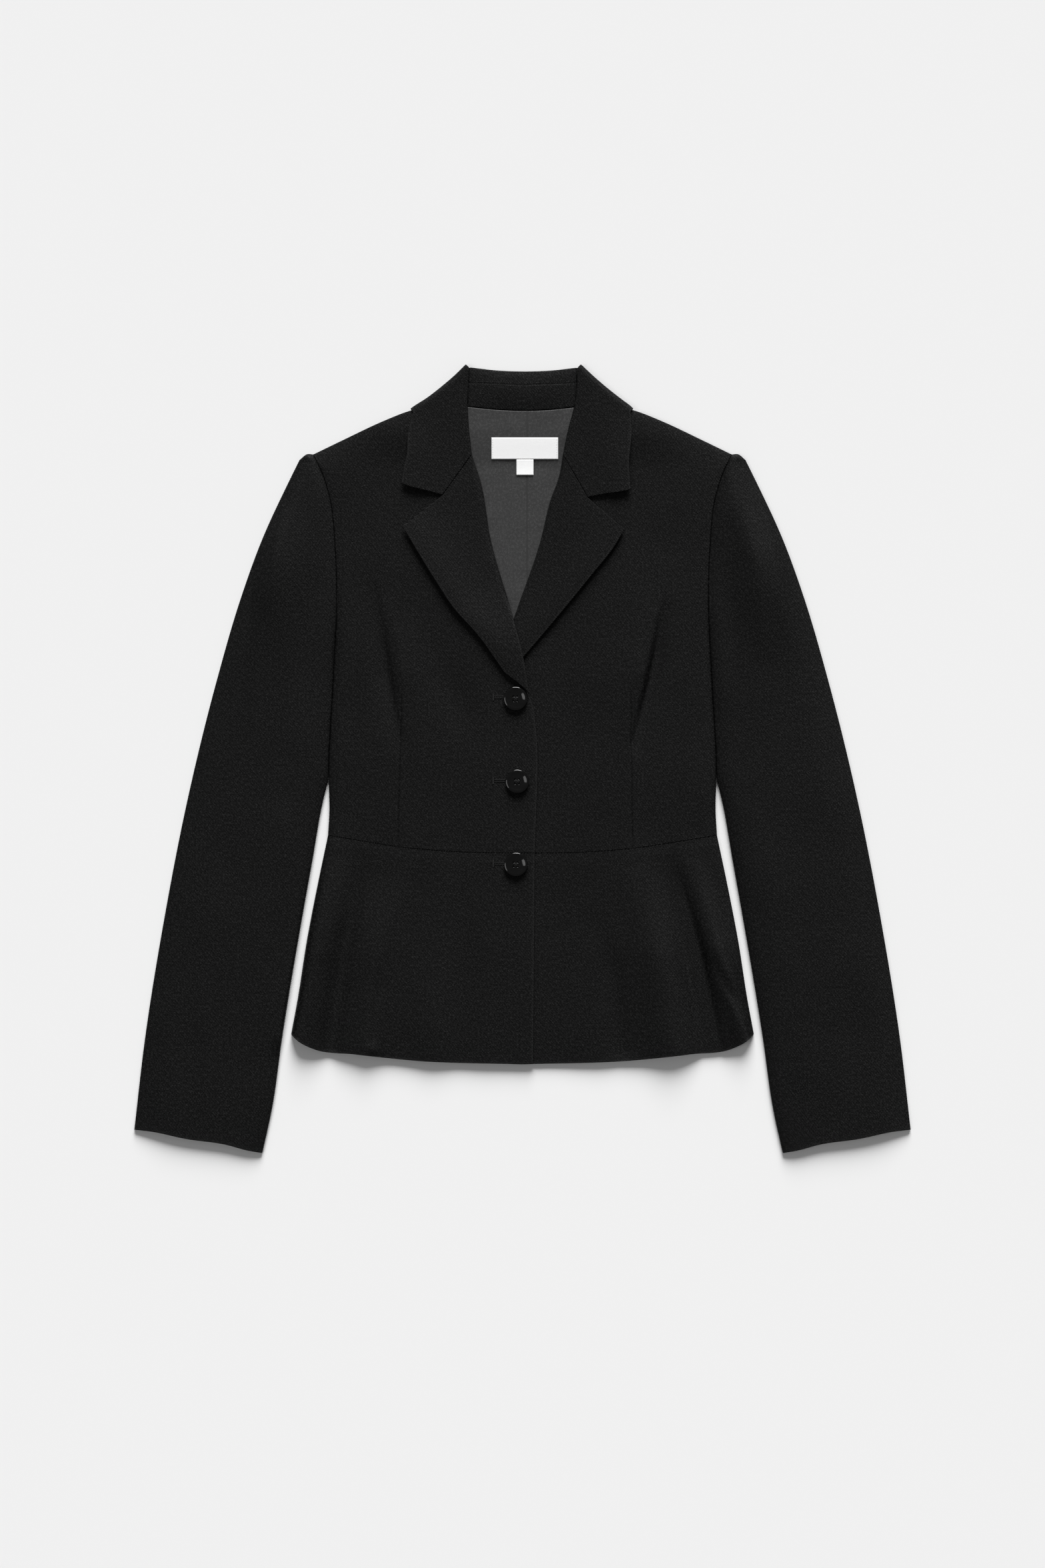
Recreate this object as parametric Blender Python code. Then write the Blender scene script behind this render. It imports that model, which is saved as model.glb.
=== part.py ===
"""A single-breasted peplum jacket, buttoned and laid on its back on a table.

The jacket lies in the XY plane with its neck towards +Y and its front facing +Z. The
origin is on the table, under the middle of the jacket. Left and right are the wearer's,
so the right front is on the -X side. Sizes are in millimetres until a mesh is made.

Every cloth piece is a wall on a grid of rows and columns. Its plan comes from the four
edges of the piece, and its height is worked out from the layer that it lies on.
"""
import math

import bmesh
import bpy
import numpy as np

MM = 0.001

# Thickness of each layer, and the air between layers
UNDER_WALL = 1.5
FRONT_WALL = 1.6
LAPEL_WALL = 1.8
LINING_WALL = 1.0
EDGE_WALL = 1.0
CLEAR = 0.3
FACING_GAP = 0.6
SEAM_SHIFT = 0.2

# Heights up the jacket, along Y
SHOULDER_Y = 264.6
UNDERARM_Y = 147.0
SLEEVE_FREE_Y = -17.0
CUFF_INNER_Y = -343.0
CAP_END_Y = 259.8
CUFF_OUTER_Y = -322.7
WAIST_END = 169.2
HEM_END = 201.3

# Outlines as half widths: distance from the centre line, height
BODY_SIDE = [
    (182.0, 264.6), (174.5, 249.0), (168.3, 230.0), (162.8, 182.0), (161.5, 147.0),
    (164.5, 71.0), (168.6, -17.0), (168.0, -45.0), (169.2, -66.7),
]
PEPLUM_SIDE = [(169.2, -66.7), (177.5, -106.0), (187.6, -158.0), (195.8, -210.0), (201.3, -239.5)]
SLEEVE_INNER = [
    (168.6, -17.0), (173.4, -36.0), (182.7, -88.0), (192.0, -140.0), (209.4, -245.0),
    (217.7, -303.0), (226.4, -343.0),
]
SLEEVE_OUTER = [
    (194.0, 259.8), (202.6, 242.4), (226.8, 190.0), (245.6, 138.0), (266.0, 68.0),
    (291.5, -36.0), (311.8, -140.0), (328.6, -245.0), (337.7, -322.7),
]
WAIST_SEAM = [(0.0, -82.2), (63.0, -80.6), (100.0, -77.4), (135.0, -72.2), (169.2, -66.7)]
HEM = [
    (0.0, -265.8), (94.6, -262.5), (146.0, -257.0), (180.0, -253.0), (195.6, -245.0), (201.3, -239.5),
]
SLEEVE_CAP = [(182.0, 264.6), (187.0, 264.9), (194.0, 259.8)]
CUFF = [
    (226.4, -343.0), (240.0, -340.5), (257.1, -335.8), (292.3, -330.6), (323.4, -324.2), (337.7, -322.7),
]
SHOULDER = [
    (182.0, 264.6), (156.0, 277.2), (119.5, 294.6), (99.0, 300.4), (84.0, 306.2), (58.0, 315.0),
]

# Lines that differ from side to side: x, height
NECK_SEAM = [(-52.0, 306.2), (-25.0, 303.4), (2.3, 302.2), (23.0, 303.0), (48.0, 305.6)]
BACK_FOLD = [(-45.6, 340.3), (-22.0, 337.6), (2.3, 336.8), (24.0, 337.5), (46.8, 340.0)]
FRONT_EDGE, FRONT_EDGE_AT_HEM = 10.7, 9.3
UNDERLAP_EDGE = -22.0
RIGHT_FRONT_INNER = [
    (-58.0, 315.0), (-57.0, 300.0), (-54.5, 264.5), (-46.0, 239.5), (-35.5, 191.4), (-16.5, 122.7),
    (-8.0, 90.0), (2.5, 62.0), (9.3, 45.0), (11.6, 28.0), (11.6, -59.0), (10.7, -82.2),
]
LEFT_FRONT_INNER = [
    (58.0, 315.0), (54.0, 300.0), (45.5, 264.4), (34.0, 225.3), (23.5, 189.8), (-1.0, 122.4),
    (-13.0, 80.0), (-20.0, 58.0), (-22.0, 30.0), (-22.0, -82.2),
]


def ease(value, start, end):
    """Return 0 before start and 1 after end, with a smooth rise between them."""
    share = np.clip((value - start) / (end - start), 0.0, 1.0)
    return share * share * (3.0 - 2.0 * share)


def lengths_along(points):
    """Return the distance run along a line of points, from its first point."""
    steps = np.linalg.norm(np.diff(points, axis=0), axis=1)
    return np.concatenate([[0.0], np.cumsum(steps)])


def curve(points, shares):
    """Return points at the given shares of the length of a smooth curve through points."""
    knots = np.array(points, dtype=float)
    run = lengths_along(knots)
    slopes = np.gradient(knots, run, axis=0)
    dense = np.linspace(0.0, run[-1], 240)
    span = np.clip(np.searchsorted(run, dense, side="right") - 1, 0, len(run) - 2)
    width = (run[span + 1] - run[span])[:, None]
    t = (dense - run[span])[:, None] / width
    line = ((2 * t**3 - 3 * t**2 + 1) * knots[span] + (t**3 - 2 * t**2 + t) * width * slopes[span]
            + (3 * t**2 - 2 * t**3) * knots[span + 1] + (t**3 - t**2) * width * slopes[span + 1])
    true_run = lengths_along(line)
    wanted = np.asarray(shares) * true_run[-1]
    return np.column_stack([np.interp(wanted, true_run, line[:, axis]) for axis in (0, 1)])


def half_width(points, heights):
    """Return how far out a side line is at each height."""
    line = curve(points, np.linspace(0.0, 1.0, 200))[::-1]
    return np.interp(heights, line[:, 1], line[:, 0])


def level(points, across):
    """Return the height of a seam that is the same on both sides, at each distance across."""
    line = curve(points, np.linspace(0.0, 1.0, 200))
    return np.interp(np.abs(across), line[:, 0], line[:, 1])


def distance(plan, line):
    """Return how far each point of a plan lies from a line of points."""
    nearest = np.full(plan.shape[:-1], np.inf)
    for start, end in zip(line[:-1], line[1:]):
        along = end - start
        share = np.clip(((plan - start) @ along) / (along @ along), 0.0, 1.0)
        foot = start + share[..., None] * along
        nearest = np.minimum(nearest, np.linalg.norm(plan - foot, axis=-1))
    return nearest


def patch(top, bottom, first, last):
    """Fill the plan between four edges: rows run from first to last, columns from top to bottom."""
    across = 0.5 * (lengths_along(top) / lengths_along(top)[-1]
                    + lengths_along(bottom) / lengths_along(bottom)[-1])
    down = 0.5 * (lengths_along(first) / lengths_along(first)[-1]
                  + lengths_along(last) / lengths_along(last)[-1])
    u = across[None, :, None]
    v = down[:, None, None]
    between_rows = (1 - v) * top[None] + v * bottom[None]
    between_columns = (1 - u) * first[:, None] + u * last[:, None]
    corners = ((1 - u) * (1 - v) * top[0] + u * (1 - v) * top[-1]
               + (1 - u) * v * bottom[0] + u * v * bottom[-1])
    return between_rows + between_columns - corners


# Broad fullness of the fronts: x, y, reach across, reach along, height
FULLNESS = [
    (-100.0, 110.0, 46.0, 75.0, 1.5),
    (100.0, 110.0, 46.0, 75.0, 1.5),
    (-92.0, -20.0, 48.0, 42.0, 1.2),
    (92.0, -20.0, 48.0, 42.0, 1.2),
    (-100.0, -190.0, 62.0, 60.0, 1.7),
    (100.0, -190.0, 62.0, 60.0, 1.7),
]
# Folds of the right half: start x, y, middle x, y, end x, y, height, half width
RIGHT_FOLDS = [
    (-128.5, 147.0, -114.0, 65.0, -106.7, 13.0, -0.9, 6.0),
    (-135.7, -100.0, -152.0, -150.0, -172.0, -252.0, -1.5, 7.0),
    (-122.0, -105.0, -139.0, -170.0, -153.0, -258.0, 1.7, 9.0),
    (-160.0, -105.0, -177.0, -180.0, -190.0, -246.0, 1.2, 8.0),
    (-121.0, -166.0, -126.0, -200.0, -130.0, -238.0, -0.9, 6.0),
    (-196.7, 246.7, -209.0, 200.0, -219.0, 150.0, 1.6, 6.0),
    (-206.0, 233.0, -214.0, 190.0, -235.0, 60.0, 0.7, 8.0),
]
# Folds of the left half, in the same columns
LEFT_FOLDS = [
    (121.8, 123.5, 108.0, 60.0, 96.3, 13.0, -1.2, 6.0),
    (131.0, 118.0, 118.0, 60.0, 105.0, 13.0, 0.7, 7.0),
    (135.4, -91.0, 157.0, -169.0, 181.0, -252.0, -1.9, 6.0),
    (120.0, -95.0, 142.0, -170.0, 163.0, -256.0, 1.7, 8.0),
    (152.0, -95.0, 174.0, -170.0, 194.0, -244.0, 1.3, 7.0),
    (67.0, -135.0, 92.0, -180.0, 106.0, -240.0, -0.8, 8.0),
    (193.0, 230.0, 205.0, 170.0, 213.0, 100.0, 1.2, 8.0),
]

# How far up and across the back rises over the fall of the collar under it
RISE_START_Y, RISE_END_Y = 250.0, 288.0
RISE_FULL_X, RISE_END_X = 103.0, 165.0
# Where the right front steps up over the left front
STEP_START_X, STEP_END_X = -62.0, -27.0
STEP_FULL_Y, STEP_END_Y = 93.0, 160.0
# The place where the lapels cross: x, y, reach across, reach along, extra height
CROSSING = (-4.0, 104.0, 16.0, 26.0, 3.0)
# Lift of a free edge, and how far in from the edge it dies away
RIGHT_LAPEL_LIFT, LEFT_LAPEL_LIFT, LEAF_LIFT = 2.6, 2.0, 1.4
LIFT_REACH = 22.0


def rise(x, y):
    """Return how far the back stands off the table over the fall of the collar."""
    fade = 1.0 - ease(np.abs(x), RISE_FULL_X, RISE_END_X)
    return (LAPEL_WALL + CLEAR) * ease(y, RISE_START_Y, RISE_END_Y) * fade


def back_top(x, y):
    """Return the height of the upper face of the back and of the under sleeves."""
    return UNDER_WALL + rise(x, y)


def lining_floor(x, y):
    return back_top(x, y) + CLEAR


def over_lining(x, y):
    return lining_floor(x, y) + LINING_WALL + CLEAR


def mound(x, y, row):
    """Return a smooth round mound: row holds x, y, reach across, reach along, height."""
    middle_x, middle_y, reach_x, reach_y, height = row
    return height * np.exp(-(((x - middle_x) / reach_x) ** 2 + ((y - middle_y) / reach_y) ** 2) / 2)


def fold_height(x, y, folds):
    """Return the height of soft ridges and troughs, each along its own bent line."""
    plan = np.stack([x, y], axis=-1)
    total = np.zeros(x.shape)
    for x1, y1, x2, y2, x3, y3, height, half in folds:
        line = curve([(x1, y1), (x2, y2), (x3, y3)], np.linspace(0.0, 1.0, 9))
        total += height * np.exp(-(distance(plan, line) / half) ** 2)
    return total


def front_floor(x, y):
    return back_top(x, y) + CLEAR


def cloth_top(x, y, folds):
    """Return the outer face of an upper panel: its floor, its wall, its fullness and folds."""
    full = sum(mound(x, y, row) for row in FULLNESS) + fold_height(x, y, folds)
    return front_floor(x, y) + FRONT_WALL + np.maximum(full, 0.0)


def left_top(x, y):
    return cloth_top(x, y, LEFT_FOLDS)


def right_step(x, y):
    """Return how far the right front stands up over the edge of the left front."""
    over = ease(x, STEP_START_X, STEP_END_X) * (1.0 - ease(y, STEP_FULL_Y, STEP_END_Y))
    return (FRONT_WALL + CLEAR) * over


def right_top(x, y):
    return cloth_top(x, y, RIGHT_FOLDS) + right_step(x, y)


def skin(name, outer, inner, colour, roughness):
    """Make a closed wall from two grids of points of the same size, rims and all."""
    rows, columns = outer.shape[:2]
    index = np.arange(rows * columns).reshape(rows, columns)
    below = index + rows * columns
    quads = []
    for grid, flipped in ((index, False), (below, True)):
        cells = [grid[:-1, :-1], grid[1:, :-1], grid[1:, 1:], grid[:-1, 1:]]
        if flipped:
            cells.reverse()
        quads.append(np.stack(cells, axis=-1).reshape(-1, 4))
    rim = np.concatenate([index[0, :-1], index[:-1, -1], index[-1, :0:-1], index[:0:-1, 0]])
    around = np.roll(rim, -1)
    shift = rows * columns
    quads.append(np.stack([rim, around, around + shift, rim + shift], axis=-1))
    points = np.concatenate([outer.reshape(-1, 3), inner.reshape(-1, 3)]) * MM
    return solid(name, points, np.concatenate(quads), colour, roughness)


def solid(name, points, faces, colour, roughness):
    """Make an object from points in metres, turn its faces out and give it its material."""
    mesh = bpy.data.meshes.new(name)
    mesh.from_pydata([tuple(point) for point in points], [], [tuple(face) for face in faces])
    mesh.validate()
    form = bmesh.new()
    form.from_mesh(mesh)
    bmesh.ops.recalc_face_normals(form, faces=form.faces)
    form.to_mesh(mesh)
    form.free()
    mesh.shade_smooth()
    mesh.set_sharp_from_angle(angle=math.radians(50.0))
    body = bpy.data.objects.new(name, mesh)
    bpy.context.collection.objects.link(body)
    finish = bpy.data.materials.new(name + "_finish")
    finish.use_nodes = True
    surface = finish.node_tree.nodes["Principled BSDF"]
    surface.inputs["Base Color"].default_value = (*colour, 1.0)
    surface.inputs["Roughness"].default_value = roughness
    surface.inputs["Metallic"].default_value = 0.0
    mesh.materials.append(finish)
    return body


def panel(name, plan, floor, top, wall, edges, colour, roughness):
    """Make a cloth panel whose named edges are rounded down towards the layer below.

    Each edge is a line, the width of its rounding, and how much of the way down it goes.
    """
    height = top.copy()
    for line, width, amount in edges:
        share = 1.0 - np.clip(distance(plan, line) / width, 0.0, 1.0)
        low = top - np.maximum(top - floor - EDGE_WALL, 0.0) * amount
        height = np.minimum(height, low + (top - low) * np.sqrt(1.0 - share**2))
    under = np.maximum(height - wall, floor)
    return skin(name, np.dstack([plan, height]), np.dstack([plan, under]), colour, roughness)


CLOTH = (0.011, 0.011, 0.012)
LINING = (0.045, 0.045, 0.048)
WOVEN_LABEL = (0.86, 0.86, 0.85)
BUTTON = (0.006, 0.006, 0.007)
CLOTH_ROUGHNESS, LINING_ROUGHNESS, BUTTON_ROUGHNESS = 0.85, 0.55, 0.12

SEAM_ROWS = 12
FREE_ROWS = 12
WAIST_ROWS = 4
FRONT_COLUMNS = 17
SLEEVE_COLUMNS = 12
PEPLUM_ROWS = 11
ROUND_WIDTH = 7.0
GROOVE = 0.35

# Heights of the rows: the body and the sleeve share those of the armhole and the side
seam_levels = SHOULDER_Y - (SHOULDER_Y - SLEEVE_FREE_Y) * np.linspace(0.0, 1.0, SEAM_ROWS) ** 1.25
waist_levels = np.linspace(SLEEVE_FREE_Y, BODY_SIDE[-1][1], WAIST_ROWS)[1:]
body_levels = np.concatenate([seam_levels, waist_levels])
sleeve_levels = np.concatenate([seam_levels, np.linspace(SLEEVE_FREE_Y, CUFF_INNER_Y, FREE_ROWS)[1:]])
peplum_levels = np.linspace(PEPLUM_SIDE[0][1], PEPLUM_SIDE[-1][1], PEPLUM_ROWS)
front_shares = (1.0 - np.cos(np.linspace(0.0, math.pi, FRONT_COLUMNS))) / 2.0
even_shares = (1.0 - np.cos(np.linspace(0.0, math.pi, SLEEVE_COLUMNS))) / 2.0


def mirrored(line, side):
    """Return a half outline on the wanted side: -1 is the wearer's right, 1 the left."""
    return np.array(line, dtype=float) * (side, 1.0)


def matched(top, bottom, first, last):
    """Fill four edges whose corners are made to meet exactly."""
    top, bottom = top.copy(), bottom.copy()
    top[0], top[-1], bottom[0], bottom[-1] = first[0], last[0], first[-1], last[-1]
    return patch(top, bottom, first, last)


def body_side_line(side):
    widths = half_width(BODY_SIDE, body_levels) - SEAM_SHIFT
    return mirrored(np.column_stack([widths, body_levels]), side)


def peplum_side_line(side):
    widths = half_width(PEPLUM_SIDE, peplum_levels)
    return mirrored(np.column_stack([widths, peplum_levels]), side)


def sleeve_inner_line(side):
    """Return the sleeve's inner side: along the armhole and the body, then free to the cuff."""
    beside = half_width(BODY_SIDE, seam_levels) + SEAM_SHIFT
    free = half_width(SLEEVE_INNER, sleeve_levels[SEAM_ROWS:])
    return mirrored(np.column_stack([np.concatenate([beside, free]), sleeve_levels]), side)


def sleeve_outer_line(side):
    share = (SHOULDER_Y - sleeve_levels) / (SHOULDER_Y - CUFF_INNER_Y)
    levels = CAP_END_Y + share * (CUFF_OUTER_Y - CAP_END_Y)
    return mirrored(np.column_stack([half_width(SLEEVE_OUTER, levels), levels]), side)


def across_waist(start, end, shares, shift):
    """Return points of the waist seam from one place across to another."""
    across = start + (end - start) * shares
    return np.column_stack([across, level(WAIST_SEAM, across) + shift])


def row_shares(points):
    run = lengths_along(points)
    return run / run[-1]


def finer_start(points, spans=2, parts=2):
    """Add rows along the first spans of a line, on its straight runs, so its shape stays."""
    places = np.concatenate([np.linspace(0, spans, spans * parts + 1), np.arange(spans + 1, len(points))])
    return np.column_stack([np.interp(places, np.arange(len(points)), points[:, axis]) for axis in (0, 1)])


def front_bodice(name, side, inner, top_height, step):
    first = finer_start(body_side_line(side))
    last = curve(inner, row_shares(first))
    top = curve(mirrored(SHOULDER, side), front_shares)
    bottom = across_waist(first[-1, 0], last[-1, 0], front_shares, SEAM_SHIFT)
    last[-1, 1] = bottom[-1, 1]
    first[-1, 1] = bottom[0, 1]
    plan = matched(top, bottom, first, last)
    x, y = plan[..., 0], plan[..., 1]
    below_arm = GROOVE + (1.0 - GROOVE) * (1.0 - ease(y, 95.0, UNDERARM_Y))
    edges = [
        (first, ROUND_WIDTH, below_arm),
        (top, ROUND_WIDTH, 1.0),
        (bottom, 4.0, 0.4),
    ]
    panel(name, plan, front_floor(x, y) + step(x, y), top_height(x, y), FRONT_WALL, edges,
          CLOTH, CLOTH_ROUGHNESS)


def front_peplum(name, side, waist_edge, hem_edge, top_height, step):
    first = peplum_side_line(side)
    top = across_waist(first[0, 0], waist_edge, front_shares, -SEAM_SHIFT)
    across = first[-1, 0] + (hem_edge - first[-1, 0]) * front_shares
    bottom = np.column_stack([across, level(HEM, across)])
    down = row_shares(first)[:, None]
    last = (1 - down) * top[-1] + down * bottom[-1]
    first[0, 1] = top[0, 1]
    plan = matched(top, bottom, first, last)
    x, y = plan[..., 0], plan[..., 1]
    edges = [(first, ROUND_WIDTH, 1.0), (top, 4.0, 0.4)]
    panel(name, plan, front_floor(x, y) + step(x, y), top_height(x, y), FRONT_WALL, edges,
          CLOTH, CLOTH_ROUGHNESS)


SLEEVE_CROWN = 1.6


def sleeve_top(name, side, folds):
    first = sleeve_inner_line(side)
    last = sleeve_outer_line(side)
    top = curve(mirrored(SLEEVE_CAP, side), even_shares)
    bottom = curve(mirrored(CUFF, side), even_shares)
    plan = matched(top, bottom, first, last)
    x, y = plan[..., 0], plan[..., 1]
    crown = SLEEVE_CROWN * (1.0 - (2.0 * even_shares - 1.0) ** 2)[None]
    below_arm = GROOVE + (1.0 - GROOVE) * (1.0 - ease(y, 95.0, UNDERARM_Y))
    edges = [(first, ROUND_WIDTH, below_arm), (last, ROUND_WIDTH, 1.0), (top, ROUND_WIDTH, 1.0)]
    panel(name, plan, front_floor(x, y), cloth_top(x, y, folds) + crown, FRONT_WALL, edges,
          CLOTH, CLOTH_ROUGHNESS)


def plate(name, outline, bottom, top, colour, roughness):
    """Make a flat piece from its outline, which runs anticlockwise seen from above."""
    count = len(outline)
    low = np.column_stack([outline, np.full(count, bottom)])
    high = np.column_stack([outline, np.full(count, top)])
    faces = [list(range(count))[::-1], list(range(count, 2 * count))]
    faces += [[k, (k + 1) % count, (k + 1) % count + count, k + count] for k in range(count)]
    return solid(name, np.concatenate([low, high]) * MM, faces, colour, roughness)


def sleeve_under(name, side):
    """Make the under sleeve: the same outline as the upper one, flat on the table."""
    top = curve(mirrored(SLEEVE_CAP, side), even_shares)
    bottom = curve(mirrored(CUFF, side), even_shares)
    inner, outer = sleeve_inner_line(side), sleeve_outer_line(side)
    outline = np.concatenate([inner[:-1], bottom[:-1], outer[:0:-1], top[:0:-1]])
    plate(name, outline, 0.0, UNDER_WALL, CLOTH, CLOTH_ROUGHNESS)


def back():
    """Make the back bodice, which rises over the fall of the collar near the neck."""
    shares = np.linspace(0.0, 1.0, 9)
    right = curve(mirrored(SHOULDER, -1), shares)
    neck = curve(NECK_SEAM, shares[::2])
    left = curve(mirrored(SHOULDER, 1), shares)[::-1]
    top = np.concatenate([right, neck, left])
    first, last = (finer_start(body_side_line(side), 3) for side in (-1, 1))
    bottom = across_waist(first[-1, 0], last[-1, 0], row_shares(top), SEAM_SHIFT)
    for line, end in ((first, 0), (last, -1)):
        line[-1, 1] = bottom[end, 1]
    plan = matched(top, bottom, first, last)
    x, y = plan[..., 0], plan[..., 1]
    lower = np.dstack([plan, rise(x, y)])
    upper = np.dstack([plan, back_top(x, y)])
    skin("back", upper, lower, CLOTH, CLOTH_ROUGHNESS)


def peplum_back():
    waist = across_waist(-WAIST_END, WAIST_END, np.linspace(0.0, 1.0, 24), -SEAM_SHIFT)
    across = np.linspace(HEM_END, -HEM_END, 28)
    hem = np.column_stack([across, level(HEM, across)])
    outline = np.concatenate([
        waist[::-1], peplum_side_line(-1)[1:-1], hem[::-1], peplum_side_line(1)[-2:0:-1],
    ])
    plate("peplum_back", outline, 0.0, UNDER_WALL, CLOTH, CLOTH_ROUGHNESS)


# Fold lines of the lapels, from the gorge down, and their free edges, from the point down
RIGHT_ROLL = [
    (-44.1, 264.1), (-36.0, 239.5), (-27.8, 191.4), (-8.1, 122.7), (0.6, 88.7), (5.8, 56.8),
]
RIGHT_LAPEL_EDGE = [(-104.5, 201.8), (-76.7, 156.0), (-58.9, 129.4), (-41.2, 110.0), (-15.3, 74.5)]
RIGHT_LAPEL_TIP = [(5.8, 56.8), (0.0, 62.3), (-15.3, 74.5)]
RIGHT_LAPEL_NOTCH = (-69.9, 227.4)
LEFT_ROLL = [
    (35.2, 264.1), (31.6, 244.8), (24.5, 225.3), (15.7, 189.8), (-7.4, 122.4), (-11.5, 110.0),
]
LEFT_LAPEL_EDGE = [
    (88.7, 199.5), (79.5, 183.6), (61.8, 161.4), (29.9, 122.4), (1.2, 88.7), (-3.0, 84.0),
]
LEFT_LAPEL_TIP = [(-11.5, 110.0), (-3.0, 84.0)]
LEFT_LAPEL_NOTCH = (56.6, 226.7)
GORGE_STEPS, NOTCH_STEPS, LAPEL_ROWS = 4, 3, 16
ROLL_WIDTH = 5.0
# Above this height up the jacket a roll line comes down as far as the lining
ROLL_START_Y, ROLL_FULL_Y = 124.0, 150.0


def straight(start, end, steps):
    return np.linspace(start, end, steps + 1)


def lapel(name, roll, edge, notch, tip, seat, lift, roll_down):
    """Make a lapel: the gorge seam and the notch at its top, its roll line on one side."""
    top = np.concatenate([straight(roll[0], notch, GORGE_STEPS)[:-1], straight(notch, edge[0], NOTCH_STEPS)])
    shares = np.linspace(0.0, 1.0, LAPEL_ROWS)
    first, last = curve(roll, shares), curve(edge, shares)
    plan = matched(top, curve(tip, row_shares(top)), first, last)
    x, y = plan[..., 0], plan[..., 1]
    raised = lift * np.exp(-(distance(plan, last) / LIFT_REACH) ** 2) * ease(y, 105.0, 165.0)
    height = seat(x, y) + FACING_GAP + LAPEL_WALL + raised
    panel(name, plan, over_lining(x, y), height, LAPEL_WALL, [(first, ROLL_WIDTH, roll_down(y))],
          CLOTH, CLOTH_ROUGHNESS)


def right_lapel_seat(x, y):
    """Return what the right lapel lies on: the right front, or the left lapel where they cross."""
    return right_top(x, y) + mound(x, y, CROSSING)


def right_roll_down(y):
    return ease(y, ROLL_START_Y, ROLL_FULL_Y)


# The collar's fold round the shoulders, from the neck outward, and its free edges
RIGHT_CONTOUR = [(-49.3, 343.0), (-58.9, 333.6), (-71.3, 323.0), (-83.8, 314.0), (-98.6, 305.6)]
LEFT_CONTOUR = [(50.8, 343.0), (65.5, 329.4), (76.0, 320.6), (87.6, 312.0), (97.2, 305.2)]
RIGHT_COLLAR_ROLL = [(-44.1, 264.8), (-46.5, 286.0), (-47.6, 305.0)]
LEFT_COLLAR_ROLL = [(35.2, 264.8), (39.6, 286.0), (45.0, 307.0)]
RIGHT_LEAF_EDGE = [(-105.6, 242.2), (-101.5, 262.0), (-98.8, 286.0)]
LEFT_LEAF_EDGE = [(94.1, 235.6), (92.8, 259.0), (95.1, 284.0)]
RIGHT_LEAF_NOTCH = [(-69.9, 230.3), (-87.3, 235.5), (-98.0, 237.8), (-105.6, 242.2)]
LEFT_LEAF_NOTCH = [(57.0, 227.5), (70.7, 230.6), (90.2, 232.8), (94.1, 235.6)]
FALL_FOLD = [(-22.0, 337.6), (2.3, 336.8), (24.0, 337.5)]
FALL_EDGE = [(-50.0, 291.5), (2.3, 289.0), (52.0, 291.5)]
LEAF_ROWS, BEND_ROWS, FALL_ROWS = 9, 5, 11
LEAF_ROLL_DROP = 0.7
# Height of the leaf's outer face at the shoulder, over the fall, the back and the front
LEAF_HEIGHT = 2 * LAPEL_WALL + UNDER_WALL + FRONT_WALL + 2 * CLEAR + FACING_GAP


def leaf(side, roll, edge, notch, contour):
    """Return the middle surface and the outward direction of one leaf and of its bend.

    Rows run from the notch up to the shoulder and then round under it, in a half circle.
    """
    gorge = np.concatenate([straight(roll[0], notch[0], GORGE_STEPS)[:-1],
                            curve(notch, np.linspace(0.0, 1.0, NOTCH_STEPS + 1))])
    brim = curve(contour, row_shares(gorge))
    along = np.gradient(brim, axis=0)
    along /= np.linalg.norm(along, axis=1)[:, None]
    inward = side * np.column_stack([along[:, 1], -along[:, 0]])
    turn = LEAF_HEIGHT / 2
    fold = brim + turn * inward
    shares = np.linspace(0.0, 1.0, LEAF_ROWS)
    first = curve([*roll, tuple(fold[0])], shares)
    last = curve([*edge, tuple(fold[-1])], shares)
    plan = matched(gorge, fold, first, last)
    x, y = plan[..., 0], plan[..., 1]
    fade = 1.0 - ease(y, 270.0, 300.0)
    raised = LEAF_LIFT * np.exp(-(distance(plan, last) / LIFT_REACH) ** 2) * fade
    near_roll = 1.0 - np.clip(distance(plan, first) / ROLL_WIDTH, 0.0, 1.0)
    drop = LEAF_ROLL_DROP * (1.0 - np.sqrt(1.0 - near_roll**2)) * (1.0 - ease(y, 300.0, 335.0))
    seat = front_floor(x, y) + FRONT_WALL + FACING_GAP
    flat = np.dstack([plan, seat + LAPEL_WALL / 2 + raised - drop])
    up = np.zeros(flat.shape)
    up[..., 2] = 1.0
    rows, directions = [flat], [up]
    radius = turn - LAPEL_WALL / 2
    for angle in np.linspace(0.0, math.pi, BEND_ROWS + 2)[1:]:
        reach = turn - radius * math.sin(angle)
        height = np.full((len(brim), 1), turn + radius * math.cos(angle))
        rows.append(np.hstack([brim + reach * inward, height])[None])
        lean = np.full((len(brim), 1), math.cos(angle))
        directions.append(np.hstack([-math.sin(angle) * inward, lean])[None])
    return np.concatenate(rows), np.concatenate(directions)


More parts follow.
